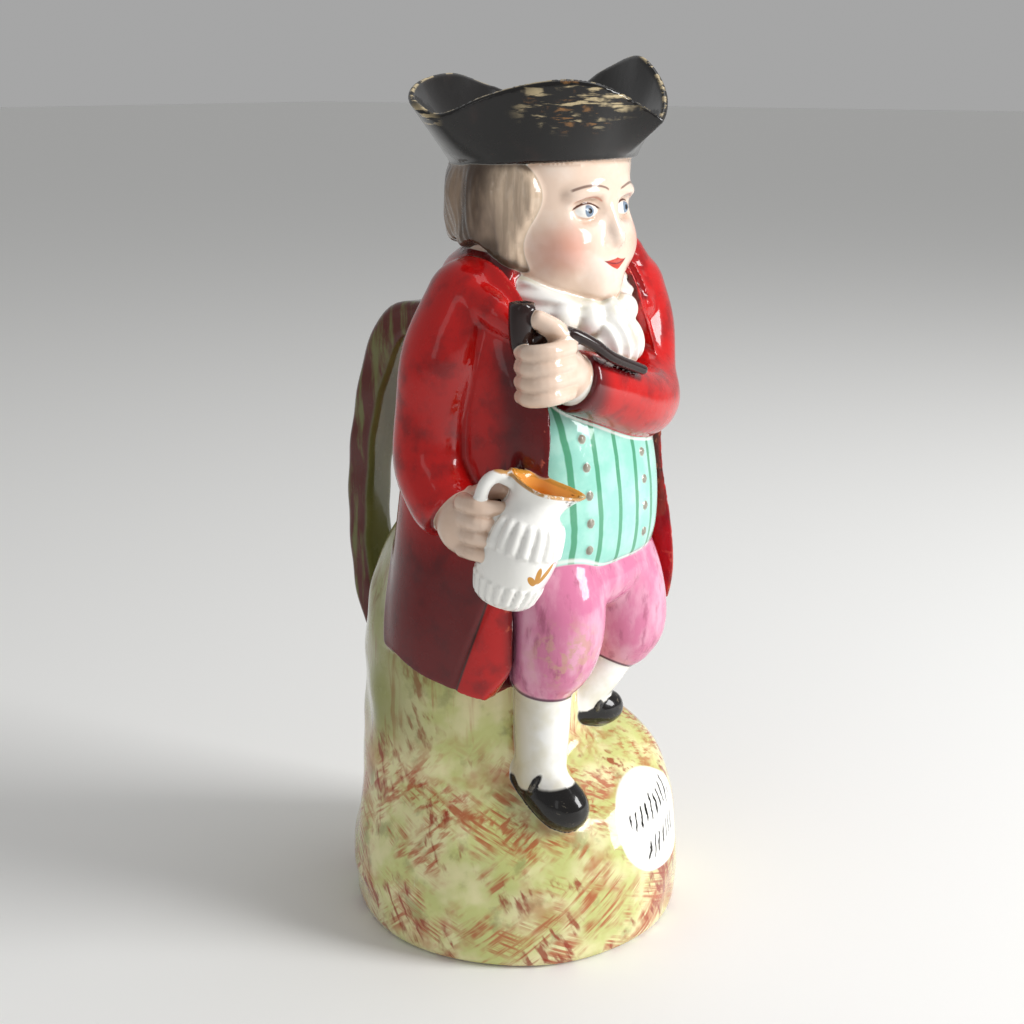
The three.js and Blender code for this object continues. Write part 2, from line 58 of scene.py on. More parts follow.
# Driving dimensions, in millimetres, as in the CAD solid
FOOT_RADIUS = 57.0
HAT_FOOT_Z = 254.0
HAT_RADIUS = 29.4
HEAD_Y = -10.5
CHIN_Z = 213.0
BAND_Z = 88.0
WAIST_Z = 129.0
SHOULDER_Z = 211.0
FLOOR = 6.0

# Mesh fineness
CELL = 0.9
MOST_TRIANGLES = 196000
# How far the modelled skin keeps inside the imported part's box
BOX_MARGIN = 0.02
FAR = 12.0


# Numbers and curves
def radians(degrees):
    return degrees * math.pi / 180.0


def smooth_min(a, b, blend):
    """The smaller of two distances, with the crease between them rounded over."""
    share = np.clip(0.5 + 0.5 * (b - a) / blend, 0.0, 1.0)
    return b + (a - b) * share - blend * share * (1.0 - share)


def smooth_max(a, b, blend):
    return -smooth_min(-a, -b, blend)


def row_table(rows, step=0.5):
    """The rows, resampled finely on a smooth curve through them, and their slopes."""
    rows = np.array(rows, float)
    places = rows[:, 0]
    slopes = np.empty_like(rows)
    slopes[1:-1] = (rows[2:] - rows[:-2]) / (places[2:] - places[:-2])[:, None]
    slopes[0] = (rows[1] - rows[0]) / (places[1] - places[0])
    slopes[-1] = (rows[-1] - rows[-2]) / (places[-1] - places[-2])
    fine = np.linspace(places[0], places[-1], int((places[-1] - places[0]) / step) + 2)
    i = np.clip(np.searchsorted(places, fine, side="right") - 1, 0, len(rows) - 2)
    span = (places[i + 1] - places[i])[:, None]
    t = (fine[:, None] - rows[i, 0][:, None]) / span
    values = (
        (2 * t**3 - 3 * t**2 + 1) * rows[i]
        + (t**3 - 2 * t**2 + t) * span * slopes[i]
        + (3 * t**2 - 2 * t**3) * rows[i + 1]
        + (t**3 - t**2) * span * slopes[i + 1]
    )
    return fine, values, np.gradient(values, fine, axis=0)


def spline(points, steps):
    """A smooth curve through points of any width, with steps to each stretch."""
    points = np.array(points, float)
    padded = np.vstack([2 * points[0] - points[1], points, 2 * points[-1] - points[-2]])
    curve = []
    for a, b, c, d in zip(padded, padded[1:], padded[2:], padded[3:]):
        for t in np.arange(steps) / steps:
            bend = (2 * a - 5 * b + 4 * c - d) * t**2 + (3 * b - a - 3 * c + d) * t**3
            curve.append(b + 0.5 * ((c - a) * t + bend))
    curve.append(points[-1])
    return np.array(curve)


def turned(x, y, z, turns):
    """Points turned back by degrees about x, y and z, so that a form turned forwards reads them."""
    for axis, turn in reversed(list(enumerate(turns))):
        c, s = math.cos(radians(turn)), math.sin(radians(turn))
        if axis == 0:
            y, z = c * y + s * z, c * z - s * y
        elif axis == 1:
            x, z = c * x - s * z, c * z + s * x
        else:
            x, y = c * x + s * y, c * y - s * x
    return x, y, z


# Forms: each is a distance function with the box that it fills
class Form:
    def __init__(self, low, high, distance):
        self.low = np.array(low, float)
        self.high = np.array(high, float)
        self.distance = distance

    def __call__(self, x, y, z):
        return self.distance(x, y, z)


def swell(swellings, angle, z):
    """How far swellings reach out. Each is turn, height, their two spreads and reach."""
    total = 0.0
    for turn, height, turn_spread, z_spread, reach in swellings:
        off = (angle - radians(turn) + math.pi) % (2 * math.pi) - math.pi
        away = (off / radians(turn_spread)) ** 2 + ((z - height) / z_spread) ** 2
        total = total + reach * np.exp(-away)
    return total


def trunk(rows, swellings=(), grow=0.0, rounding=1.5, ripple=None):
    """An upright form. Rows are height, middle x and y, radii along x and y, and squareness."""
    fine, values, slopes = row_table(rows)
    low_z, high_z = fine[0], fine[-1]
    reach = grow + 8.0

    def distance(x, y, z):
        at = np.clip(z, low_z, high_z)
        cx, cy, rx, ry, n = (np.interp(at, fine, values[:, k]) for k in range(1, 6))
        cx2, cy2, rx2, ry2 = (np.interp(at, fine, slopes[:, k]) for k in range(1, 5))
        dx, dy = x - cx, y - cy
        u, v = np.abs(dx) / rx + 1e-6, np.abs(dy) / ry + 1e-6
        total = u**n + v**n
        level = total ** (1 / n)
        gx = (u ** (n - 1) / rx) * total ** (1 / n - 1)
        gy = (v ** (n - 1) / ry) * total ** (1 / n - 1)
        gz = np.sign(dx) * gx * cx2 + np.sign(dy) * gy * cy2 + gx * u * rx2 + gy * v * ry2
        side = (level - 1) / np.sqrt(gx**2 + gy**2 + gz**2) - grow
        if swellings:
            side = side - swell(swellings, np.arctan2(dy, dx), z)
        if ripple:
            side = side - ripple(np.arctan2(dy, dx), x, y, z)
        return smooth_max(side, np.maximum(z - high_z, low_z - z) - grow, rounding)

    widest = values[:, 3:5].max(0) + reach
    low = [*(values[:, 1:3].min(0) - widest), low_z - grow - 1]
    high = [*(values[:, 1:3].max(0) + widest), high_z + grow + 1]
    return Form(low, high, distance)


def limb(rows, steps=6, squash=None):
    """A round form along a smooth path. Rows are x, y, z and radius. Squash is a direction and how
    much thinner the limb is along it."""
    path = spline(rows, steps)
    radius = path[:, 3].max()

    def distance(x, y, z):
        best = None
        for a, b in zip(path, path[1:]):
            dx, dy, dz = x - a[0], y - a[1], z - a[2]
            ex, ey, ez = b[0] - a[0], b[1] - a[1], b[2] - a[2]
            length = ex * ex + ey * ey + ez * ez
            t = np.clip((dx * ex + dy * ey + dz * ez) / length, 0.0, 1.0)
            dx, dy, dz = dx - t * ex, dy - t * ey, dz - t * ez
            square = dx * dx + dy * dy + dz * dz
            if squash:
                (sx, sy, sz), times = squash
                along = dx * sx + dy * sy + dz * sz
                square = square + along * along * (times * times - 1)
            d = np.sqrt(square) - (a[3] + t * (b[3] - a[3]))
            best = d if best is None else np.minimum(best, d)
        return best

    return Form(path[:, :3].min(0) - radius, path[:, :3].max(0) + radius, distance)


def blob(center, radii, turns=(0, 0, 0)):
    """An ellipsoid, turned by degrees about x, y and z in that order."""
    center, radii = np.array(center, float), np.array(radii, float)

    def distance(x, y, z):
        dx, dy, dz = turned(x - center[0], y - center[1], z - center[2], turns)
        parts = list(zip((dx, dy, dz), radii))
        near = np.sqrt(sum((d / r) ** 2 for d, r in parts)) + 1e-9
        steep = np.sqrt(sum((d / r**2) ** 2 for d, r in parts)) + 1e-9
        return near * (near - 1.0) / steep

    return Form(center - radii.max(), center + radii.max(), distance)


def outline_distance(outline, u, v):
    """The distance from an outline in a plane, negative inside it."""
    outline = np.array(outline, float)
    best, winding = None, None
    for a, b in zip(outline, np.roll(outline, -1, axis=0)):
        ex, ey = b - a
        dx, dy = u - a[0], v - a[1]
        t = np.clip((dx * ex + dy * ey) / (ex * ex + ey * ey), 0.0, 1.0)
        square = (dx - t * ex) ** 2 + (dy - t * ey) ** 2
        crosses = ((a[1] <= v) != (b[1] <= v)) & ((dx * ey < dy * ex) == (ey > 0))
        best = square if best is None else np.minimum(best, square)
        winding = crosses if winding is None else winding ^ crosses
    return np.where(winding, -1.0, 1.0) * np.sqrt(best)


def united(forms, blend):
    def distance(x, y, z):
        total = forms[0](x, y, z)
        for form in forms[1:]:
            total = smooth_min(total, form(x, y, z), blend)
        return total

    low = np.min([f.low for f in forms], axis=0)
    high = np.max([f.high for f in forms], axis=0)
    return Form(low, high, distance)


# The mound, and the tree stump that the man leans on
DRUM = [
    [0, 0, 0, FOOT_RADIUS - 0.8, FOOT_RADIUS - 0.8, 2], [4, 0, 0, FOOT_RADIUS, FOOT_RADIUS, 2],
    [22, 0, 0, FOOT_RADIUS, FOOT_RADIUS, 2], [34, 0.5, 0, 55.5, 55, 2], [45, 2, 0, 51.5, 50.5, 2],
    [53, 4, 1, 46, 44.5, 2], [60, 7, 3, 39, 37, 2], [67, 9, 6, 28, 27, 2],
]
DRUM_SWELLINGS = [
    [232, 60, 26, 12, -3.5], [205, 34, 20, 12, -2], [262, 30, 26, 14, 1], [320, 52, 26, 12, 2],
    [214, 46, 9, 7, -1.2], [247, 42, 8, 5, -1],
]
STUMP = [
    [14, 0, 6, 56, 49, 2], [36, 0, 9, 52, 42.5, 2.1], [58, 0, 12.5, 47.5, 39.5, 2.3],
    [88, 0, 13.5, 45.5, 37.5, 2.4], [106, 0, 14, 42.5, 36.5, 2.3], [124, 0, 15, 36, 33, 2.1],
    [136, 0, 16, 28, 26, 2], [143, 0, 17, 17, 16, 2],
]
STUMP_SWELLINGS = [
    [205, 70, 12, 22, -2.5], [150, 78, 14, 20, -2], [120, 90, 12, 22, 2], [60, 80, 14, 24, -2],
]


def modelled_by_hand(angle, x, y, z):
    """Shallow unevenness left by a modeller's thumb."""
    broad = np.sin(5 * angle + 0.11 * z) * np.sin(0.16 * z + 2 * angle)
    fine = np.sin(11 * angle - 0.09 * z + 1) * np.sin(0.21 * z)
    return 0.45 * broad + 0.3 * fine - 0.75


def mound():
    drum = trunk(DRUM, DRUM_SWELLINGS, rounding=2.5, ripple=modelled_by_hand)
    stump = trunk(STUMP, STUMP_SWELLINGS, rounding=6, ripple=modelled_by_hand)
    return united([drum, stump], 5)


# The coat
COAT = [
    [84, 0, 1, 48.5, 40, 2.3], [105, 0, 0.5, 47.5, 39, 2.3], [125, 0, -1.5, 44.5, 37.5, 2.4],
    [150, 0, -5, 40.5, 37, 2.8], [180, 1, -7, 40, 35.5, 2.8], [200, 1, -8, 40, 31, 2.4],
    [213, 1, -8, 38.5, 28, 2.1], [222, 1, -8, 33, 25, 2], [229, 1, -8, 27, 22.5, 2],
]
COAT_SWELLINGS = [
    [188, 100, 10, 24, -1.5], [352, 100, 10, 24, -1.5], [332, 112, 26, 24, 5],
    [320, 124, 17, 34, 6.8], [229, 160, 13, 42, 1.8],
]
HEM = [
    [-60, 103], [-36, 103], [-30, 105], [-24.5, 96], [-20, 89.5], [0, 93.5], [14, 98], [60, 106],
    [60, 0], [-60, 0],
]
OPENING = [
    [-36.5, 60], [-36, 124], [-32.5, 142], [-31, 160], [-30, 176], [-29, 198], [-30.5, 210],
    [-30.5, 240], [27, 240], [23, 206], [29, 195], [34, 165], [38, 140], [41, 118], [42, 60],
]
OPENING_Y = -20.0
# The crease in the right skirt: its turn at a height, and how that changes with the height
CREASE_TURN = 195.0
CREASE_Z = 95.0
CREASE_LEAN = 0.41
CREASE_TOP_Z = 126.0


def skirt_crease(angle, x, y, z):
    """The thin line where the front of the right skirt is turned back."""
    line = radians(1) * (CREASE_TURN + (z - CREASE_Z) * CREASE_LEAN) - 2 * math.pi
    return -0.7 * np.exp(-(((angle - line) / 0.02) ** 2)) * (z < CREASE_TOP_Z)


def coat():
    body = trunk(COAT, COAT_SWELLINGS, rounding=3, ripple=skirt_crease)

    def distance(x, y, z):
        d = body(x, y, z)
        d = smooth_max(d, -outline_distance(HEM, y, z), 1.2)
        front = np.maximum(outline_distance(OPENING, x, z), y - OPENING_Y)
        return smooth_max(d, -front, 1.0)

    return Form(body.low, body.high, distance)


# Waistcoat, breeches and legs
WAISTCOAT = [
    [WAIST_Z - 1, 0, -10, 34, 29, 2.6], [WAIST_Z + 3, 0, -10, 37, 33, 2.6],
    [145, 0, -10, 38, 34.5, 2.6], [162, 0, -10, 37, 33, 2.6], [180, 0, -10, 34, 29, 2.5],
    [191, 0, -10.5, 29, 25, 2.3],
]
SHIRT = [
    [184, 0, -10, 28, 24, 2.2], [192, 0, -10, 30, 26.5, 2.2], [202, 0, -11, 29.5, 25, 2.2],
    [211, 0, -12, 27, 22.5, 2.1], [217, 0, -12, 23, 19, 2],
]
RIGHT_THIGH = [
    [-16, -24, 130, 17], [-19, -31, 116, 15.5], [-20.5, -31, 104, 14.6],
    [-22, -29, BAND_Z + 8, 11.5],
]
LEFT_THIGH = [
    [16, -22, 130, 17], [19.5, -27, 116, 16], [21.5, -28.5, 103, 15.2], [21, -28, BAND_Z + 9, 13],
]
RIGHT_SHIN = [
    [-22, -28, 92, 9.4], [-22.4, -27.8, 78, 9.1], [-22.9, -28, 67, 8.5], [-23.2, -28, 59, 8],
]
LEFT_SHIN = [
    [20, -27, 92, 8.8], [13, -24, 82, 7.8], [7, -21, 74.5, 6.4],
]
RIGHT_SHOE = ([-23.6, -22.6, 58], [-24.2, -38, 51.6], 8.2)
LEFT_SHOE = ([3, -20.5, 70.8], [16, -25.5, 69.8], 6.3)


def breeches():
    legs = [limb(RIGHT_THIGH), limb(LEFT_THIGH), blob([0, -22, 124], [30, 22, 14])]
    return united(legs, 3.5)


SHOE_WIDTHS = ((0, 0.74), (0.5, 0.92), (0.9, 1.02), (1.08, 0.92))


def shoe(heel, toe, size):
    heel, toe = np.array(heel, float), np.array(toe, float)
    along = (toe - heel) / np.linalg.norm(toe - heel)
    heading = math.degrees(math.atan2(along[0], -along[1]))
    rows = [[*(heel + (toe - heel) * share), size * wide] for share, wide in SHOE_WIDTHS]
    sole = limb(rows)
    middle = heel + (toe - heel) * 0.5 + [0, 0, size * 0.95]
    opening = blob(middle, [size * 0.8, size * 1.42, size * 0.68], (0, 0, heading))

    def distance(x, y, z):
        return smooth_max(sole(x, y, z), -opening(x, y, z), 0.6)

    return Form(sole.low, sole.high, distance)


def foot(heel, toe, size):
    """The stockinged foot that fills the shoe and shows at its opening."""
    heel, toe = np.array(heel, float), np.array(toe, float)
    instep = heel + (toe - heel) * 0.72 + [0, 0, size * 0.36]
    end = toe + [0, 0, size * 0.38]
    return limb([[*(heel + [0, 0, size * 0.3]), size * 0.7], [*instep, size * 0.82], [*end, size * 0.62]])


def strap(heel, toe, size):
    """The strap over the instep."""
    heel, toe = np.array(heel, float), np.array(toe, float)
    along = (toe - heel) / np.linalg.norm(toe - heel)
    across = np.cross(along, [0, 0, 1])
    across /= np.linalg.norm(across)
    rows = []
    for turn in range(-75, 76, 15):
        side, up = math.sin(radians(turn)), math.cos(radians(turn))
        middle = heel + (toe - heel) * (0.46 + 0.24 * up)
        rows.append([*(middle + across * side * size * 0.98 + [0, 0, up * size * 1.4]), 0.9])
    return limb(rows, steps=2)


# Sleeves, cuffs and hands
RIGHT_SLEEVE = [
    [-30, -5, SHOULDER_Z + 2, 13.5], [-37, -1, 197, 13.5], [-38.5, 2, 180, 12.5],
    [-40, 2, 164, 12.5], [-42.5, -4, 154, 11.5], [-43.5, -8, 151, 10.8],
]
LEFT_SLEEVE = [
    [38.5, -13.5, SHOULDER_Z - 1.5, 15.5], [40.5, -17, 198, 14.8], [34.5, -24.5, 184.5, 12.6],
    [25, -33, 178, 12], [10, -38, 180, 11.5], [-8, -39.5, 186.5, 10.5], [-20, -39, 190.5, 9.9],
]
RIGHT_FIST = np.array([-46.4, -17, 148.2])
LEFT_FIST = np.array([-33.5, -38.8, 197.0])


def end_of(rows):
    """The last place of a limb and the direction in which it ends."""
    before, last = np.array(rows, float)[-2:, :3]
    return last, (last - before) / np.linalg.norm(last - before)


def cut_end(form, rows, keep):
    """A limb cut square across, keep millimetres past its last row."""
    last, along = end_of(rows)
    at = last + along * keep

    def distance(x, y, z):
        ahead = (x - at[0]) * along[0] + (y - at[1]) * along[1] + (z - at[2]) * along[2]
        return smooth_max(form(x, y, z), ahead, 1.2)

    return Form(form.low, form.high, distance)


def sleeve(rows):
    return cut_end(limb(rows), rows, 3)


def shirt_cuff(rows):
    """A thin band of shirt between the sleeve and the hand."""
    last, along = end_of(rows)
    return limb([[*(last - along * 2), 7.6], [*(last + along * 2.4), 7.4]], steps=2)


RIGHT_FINGERS = ((-5.2, -3, 8.4, 1, 0.4), (-7.2, -9.5, 8.6, 1, 0), (-1.8, -14, 7.4, 1.05, -0.3))
LEFT_FINGERS = (
    (1.5, -5, 6.4, 1, 0.3),
    (-6.5, -5.2, 6, 1, 0.1),
    (-10.2, -0.6, 5.4, 1, 0),
    (-8, 4.6, 5.2, 1, -0.3),
)


def fingers(fist, rows, step, thickness, thickest):
    """Four fingers one under the other. Rows are x, y and z from the fist, how much of the step
    down each finger takes there, and how much thicker it is."""
    made = []
    for i in range(4):
        thick = thickness - 0.12 * abs(i - thickest)
        path = [[*(fist + [x, y, z - step * i * fall]), thick + more] for x, y, z, fall, more in rows]
        made.append(limb(path, steps=4))
    return made


def hand(back, palm, thumb, fist, made_fingers):
    """A fist from its back, a wrist, its fingers and its thumb."""
    thumb = limb([[*(fist + place), radius] for place, radius in thumb], steps=4)
    return united([united([united([back, palm], 4), *made_fingers], 0.6), thumb], 0.8)


def right_hand():
    """The fist that grips the small jug's handle."""
    wrist = limb([[-43.6, -8.5, 150.8, 7], [*(RIGHT_FIST + [0, 1, 0]), 7.6]])
    thumb = (([3, 0, 7.5], 3.6), ([3.5, -7, 11], 3.2), ([4, -12, 12], 2.8))
    back = blob(RIGHT_FIST, [8.6, 8.4, 9.6], (0, 0, 20))
    return hand(back, wrist, thumb, RIGHT_FIST, fingers(RIGHT_FIST, RIGHT_FINGERS, 4.8, 2.8, 1))


def left_hand():
    """The fist that holds the pipe's bowl upright."""
    wrist = limb([[-20, -39, 191, 7.2], [*(LEFT_FIST + [3, 0, -1]), 7.4]])
    thumb = (([2, -3, 6], 3.8), ([-1, -2.5, 11], 3.4), ([-4.6, 1, 14.5], 2.8))
    back = blob(LEFT_FIST + [1, 0.5, -1], [9.4, 7.4, 9.2])
    return hand(back, wrist, thumb, LEFT_FIST, fingers(LEFT_FIST, LEFT_FINGERS, 4.4, 2.85, 1.5))


# The pipe
PIPE_BOWL = [
    [-39.5, -33, 200.5, 2.8], [-40, -33, 205, 3.7], [-40, -33, 211, 4], [-40, -33, 217, 3.8],
]
PIPE_TOP_Z = 216.5
PIPE_STEM = [
    [-38, -34, 203, 2.4], [-35, -39.5, 207.6, 2.2], [-31, -44.3, 207.2, 2],
    [-23.9, -47, 203.6, 1.9], [-15.6, -48.5, 198.5, 1.8], [-0.8, -49.5, 192.8, 1.6],
]


def pipe():
    bowl = limb(PIPE_BOWL)
    bore = limb([[-40, -33, 214.5, 2.2], [-40, -33, 222, 2.4]])
    stem = limb(PIPE_STEM)

    def distance(x, y, z):
        d = smooth_max(bowl(x, y, z), z - PIPE_TOP_Z, 0.8)
        d = smooth_max(d, -bore(x, y, z), 0.5)
        return smooth_min(d, stem(x, y, z), 1.0)

    whole = united([bowl, stem], 1)
    return Form(whole.low, whole.high, distance)


# The small jug. It is made upright on its own axis, then leant and put in the right hand.
JUG_FOOT = np.array([-44, -28.4, 125.6])
JUG_TIP = 8
JUG_LEAN = 16
JUG_HEADING = -38
JUG_FLUTES = 20
JUG_WALL = 1.7
JUG_DISH_Z = 30.0
SPOUT_Z = 31.0
JUG = [
    [0, 8.2], [2, 9.2], [7, 10.6], [13, 12], [19, 12.4], [26, 11.4], [31, 8.6], [35, 8.2],
    [39, 9.6], [41.5, 11.0],
]
JUG_GRIP = [
    [-7, 0, 37.5, 2.1], [-13.5, 0, 38.5, 2.1], [-16.5, 0, 34, 2.1], [-15, 0, 24, 2.1],
    [-10, 0, 17, 2.1],
]
JUG_FLUTED = ((0.9, 8.4, 1.1), (18.6, 28.6, 1.2))


def to_jug(x, y, z):
    """Row-frame points in the small jug's own upright frame."""
    return turned(x - JUG_FOOT[0], y - JUG_FOOT[1], z - JUG_FOOT[2], (JUG_TIP, JUG_LEAN, JUG_HEADING))


def jug_rim(turn):
    towards = np.cos(turn)
    return 39.2 + np.where(towards > 0, -0.6, 1.8) * towards**2


def spout(turn, z):
    """How far the spout reaches out of the small jug's wall."""
    return np.clip(z - SPOUT_Z, 0, 12) * 0.78 * np.clip(np.cos(turn), 0, 1) ** 7


def small_jug():
    fine, values, slopes = row_table(JUG, 0.25)
    grip = limb(JUG_GRIP)

    def distance(x, y, z):
        x, y, z = to_jug(x, y, z)
        x, y, z = np.broadcast_arrays(x, y, z)
        turn = np.arctan2(y, x)
        radius = np.interp(z, fine, values[:, 1])
        steep = np.interp(z, fine, slopes[:, 1])
        lip = spout(turn, z)
        around = np.sqrt(x * x + y * y)
        groove = 0.0
        for low, high, deep in JUG_FLUTED:
            band = np.clip(np.minimum(z - low, high - z) * 1.6, 0, 1)
            groove = groove + deep * band * (np.abs(np.sin(turn * JUG_FLUTES / 2)) ** 0.7 - 0.4)
        side = (around - radius - lip - groove) / np.sqrt(1 + steep**2)
        d = smooth_max(side, np.maximum(z - jug_rim(turn), -z), 0.8)
        inside = (around - (radius + lip - JUG_WALL)) / np.sqrt(1 + steep**2)
        d = smooth_max(d, -np.maximum(inside, JUG_DISH_Z - z), 0.7)
        return smooth_min(d, grip(x, y, z), 1.2)

    return Form(JUG_FOOT - [22, 24, 6], JUG_FOOT + [30, 24, 48], distance)


# Head, face, hair and neckcloth
HEAD = [
    [CHIN_Z - 1, 0, HEAD_Y - 5, 15, 14, 2], [CHIN_Z + 3, 0, HEAD_Y - 4, 21.5, 20, 2],
    [CHIN_Z + 11, 0, HEAD_Y - 1.5, 25.5, 24.5, 2], [CHIN_Z + 20, 0, HEAD_Y - 0.5, 26.8, 26.2, 2],
    [CHIN_Z + 30, 0, HEAD_Y, 27, 26.4, 2], [HAT_FOOT_Z + 4, 0, HEAD_Y, 27.5, 27.5, 2],
]
EYE_X = 9.6
EYE_Z = CHIN_Z + 27.5
MOUTH_Z = CHIN_Z + 12.0
FACE_Y = HEAD_Y - 26.3


def head():
    skull = trunk(HEAD, rounding=5)
    front = FACE_Y
    sides = (-1, 1)
    raised = [
        *[blob([side * 11, front + 9.4, CHIN_Z + 16.5], [9, 8.8, 8.5]) for side in sides],
        blob([0, front + 6.2, CHIN_Z + 4.2], [8.5, 6.8, 5.6]),
        blob([0, front + 3.6, CHIN_Z + 12], [8, 4.4, 5.4]),
    ]
    base = united([skull, *raised], 5.5)
    bridge = ((3, 4, 2.2), (0.6, -2.5, 2.3), (-1.3, -7.5, 2.9))
    nose = united(
        [
            limb([[0, front + y, EYE_Z + z, radius] for y, z, radius in bridge]),
            blob([0, front - 1.2, EYE_Z - 8.2], [3.1, 2.9, 2.7]),
            *[blob([side * 2.8, front + 0.8, EYE_Z - 8.9], [2.1, 2.3, 1.8]) for side in sides],
        ],
        1.2,
    )

    def pair(x, y, z, radii, tip=0, turn=20):
        turns = [(0, side * tip, side * turn) for side in sides]
        return [blob([side * x, front + y, EYE_Z + z], radii, turn) for side, turn in zip(sides, turns)]

    def lip(half, end_y, middle_y, end_z, middle_z, thick):
        ends = [[side * half, front + end_y, MOUTH_Z + end_z, 0.8] for side in sides]
        return limb([ends[0], [0, front + middle_y, MOUTH_Z + middle_z, thick], ends[1]])

    brows = pair(9.5, 3.2, 5.4, [7.5, 3.4, 2.6], 8, 18)
    sockets = pair(EYE_X, 1.2, 0, [5.6, 3.0, 3.6])
    balls = pair(EYE_X, 4.6, -0.2, [4.4, 3.2, 2.7])
    lips = [lip(4.4, 1.4, -1, 0.2, 0.9, 1.15), lip(3.6, 1.2, -0.7, -1, -1.9, 1.3)]

    def distance(x, y, z):
        d = base(x, y, z)
        for brow in brows:
            d = smooth_min(d, brow(x, y, z), 2.5)
        for socket in sockets:
            d = smooth_max(d, -socket(x, y, z), 2.4)
        for ball in balls:
            d = smooth_min(d, ball(x, y, z), 0.9)
        d = smooth_min(d, nose(x, y, z), 2.4)
        for lip_form in lips:
            d = smooth_min(d, lip_form(x, y, z), 0.9)
        return d

    return Form(base.low - [0, 4, 0], base.high, distance)


HAIR = [
    [217, 0, HEAD_Y, 27, 27, 2], [223, 0, HEAD_Y, 29.5, 29.5, 2], [230, 0, HEAD_Y, 29.3, 29.6, 2],
    [238, 0, HEAD_Y, 29.8, 30.6, 2], [246, 0, HEAD_Y, 30.2, 31, 2], [253, 0, HEAD_Y, 29, 29.4, 2],
    [257, 0, HEAD_Y, 27, 27, 2],
]


def hair_waves(angle, x, y, z):
    """Broad waves with finer strands over them."""
    sway = 1.3 * np.sin(z * 0.17 + 0.6)
    broad = 0.8 * np.sin(9 * angle + sway) + 0.25 * np.sin(17 * angle - 0.8 * sway + 1.0)
    fine = 0.12 * np.sin(58 * angle + 3 * np.sin(z * 0.16))
    return (broad + fine) * np.clip((257 - z) / 8, 0, 1)


def hair():
    """A wavy bob to the collar. It frames the face at the front and its hem dips towards there."""
    mass = trunk(HAIR, rounding=3, ripple=hair_waves)

    def distance(x, y, z):
        front = HEAD_Y - 13.5 + 2.4 * np.sin(z * 0.2 - 0.4) - y
        hem = 229.5 + 0.42 * np.clip(y - HEAD_Y - 4, -18, 0) + 0.8 * np.sin(0.35 * x + 0.3 * y)
        d = smooth_max(mass(x, y, z), hem - z, 3.5)
        return smooth_max(d, front, 4.5)

    return Form(mass.low, mass.high, distance)


def neckcloth():
    wrap = trunk(
        [
            [204, 0, -15, 25, 20, 2.1],
            [211, 0, -14.5, 28, 23.5, 2.1],
            [218, 0, -14, 27.5, 22.5, 2],
            [222.5, 0, -13.5, 25.5, 20.5, 2],
        ],
        rounding=3,
        ripple=lambda angle, x, y, z: 0.5 * np.sin(1.4 * z + 4 * angle),
    )
    knots = [
        blob([-16.5, -30.5, 208.5], [5.4, 4.6, 5.2]),
        blob([-8.5, -34.5, 208.2], [5.2, 4.4, 5.4]),
        blob([0, -36.6, 208.6], [5.2, 4.4, 5.2]),
        blob([9, -35.4, 209], [5.4, 4.2, 5]),
    ]
    frill = blob([3.5, -36.5, 199.5], [13.5, 6.6, 8.6], (0, 8, 6))

    def distance(x, y, z):
        under_chin = z - 222 - 0.6 * (y + 20)
        d = smooth_max(wrap(x, y, z), under_chin, 1.5)
        for knot in knots:
            d = smooth_min(d, knot(x, y, z), 1.2)
        pleats = 0.7 * np.sin(1.15 * x + 0.35 * z) * np.clip((210 - z) / 5, 0, 1)
        return smooth_min(d, frill(x, y, z) - pleats, 1.5)

    whole = united([wrap, frill, *knots], 1)
    return Form(whole.low, whole.high, distance)


# The three-cornered hat. Rows are turn in degrees, radius and height of the rim.
BRIM_THICKNESS = 3.2
BRIM_TAPER = 0.3
BRIM_FLARE = 0.88
HAT_LIFT = 1.8
HAT_TILT = 0.055
BRIM_START = -86
BRIM = [
    [BRIM_START, 42.5, 268.4], [-55, 37, 279], [-28, 34.5, 286.2], [5, 38, 282], [34, 43.5, 272],
    [65, 38, 277], [96, 35.5, 281], [130, 40.5, 278], [154, 44.5, 273], [168, 42.3, 269.6],
    [187, 37.3, 274.4], [204, 34.8, 277.4], [227, 34.4, 279.2], [244, 36.2, 278],
    [260, 37.6, 274.2], [BRIM_START + 360, 42.5, 268.4],
]


def brim_at(x, y):
    """The rim's radius and height at a point's turn about the hat's axis."""
    fine, values, _ = row_table(BRIM, 1.0)
    turn = (np.degrees(np.arctan2(y - HEAD_Y, x)) - BRIM_START) % 360 + BRIM_START
    return np.interp(turn, fine, values[:, 1]), np.interp(turn, fine, values[:, 2])


def hat_lift(y):
    """How far the hat's foot is raised. It tilts up towards the front."""
    return HAT_LIFT - HAT_TILT * (y - HEAD_Y)


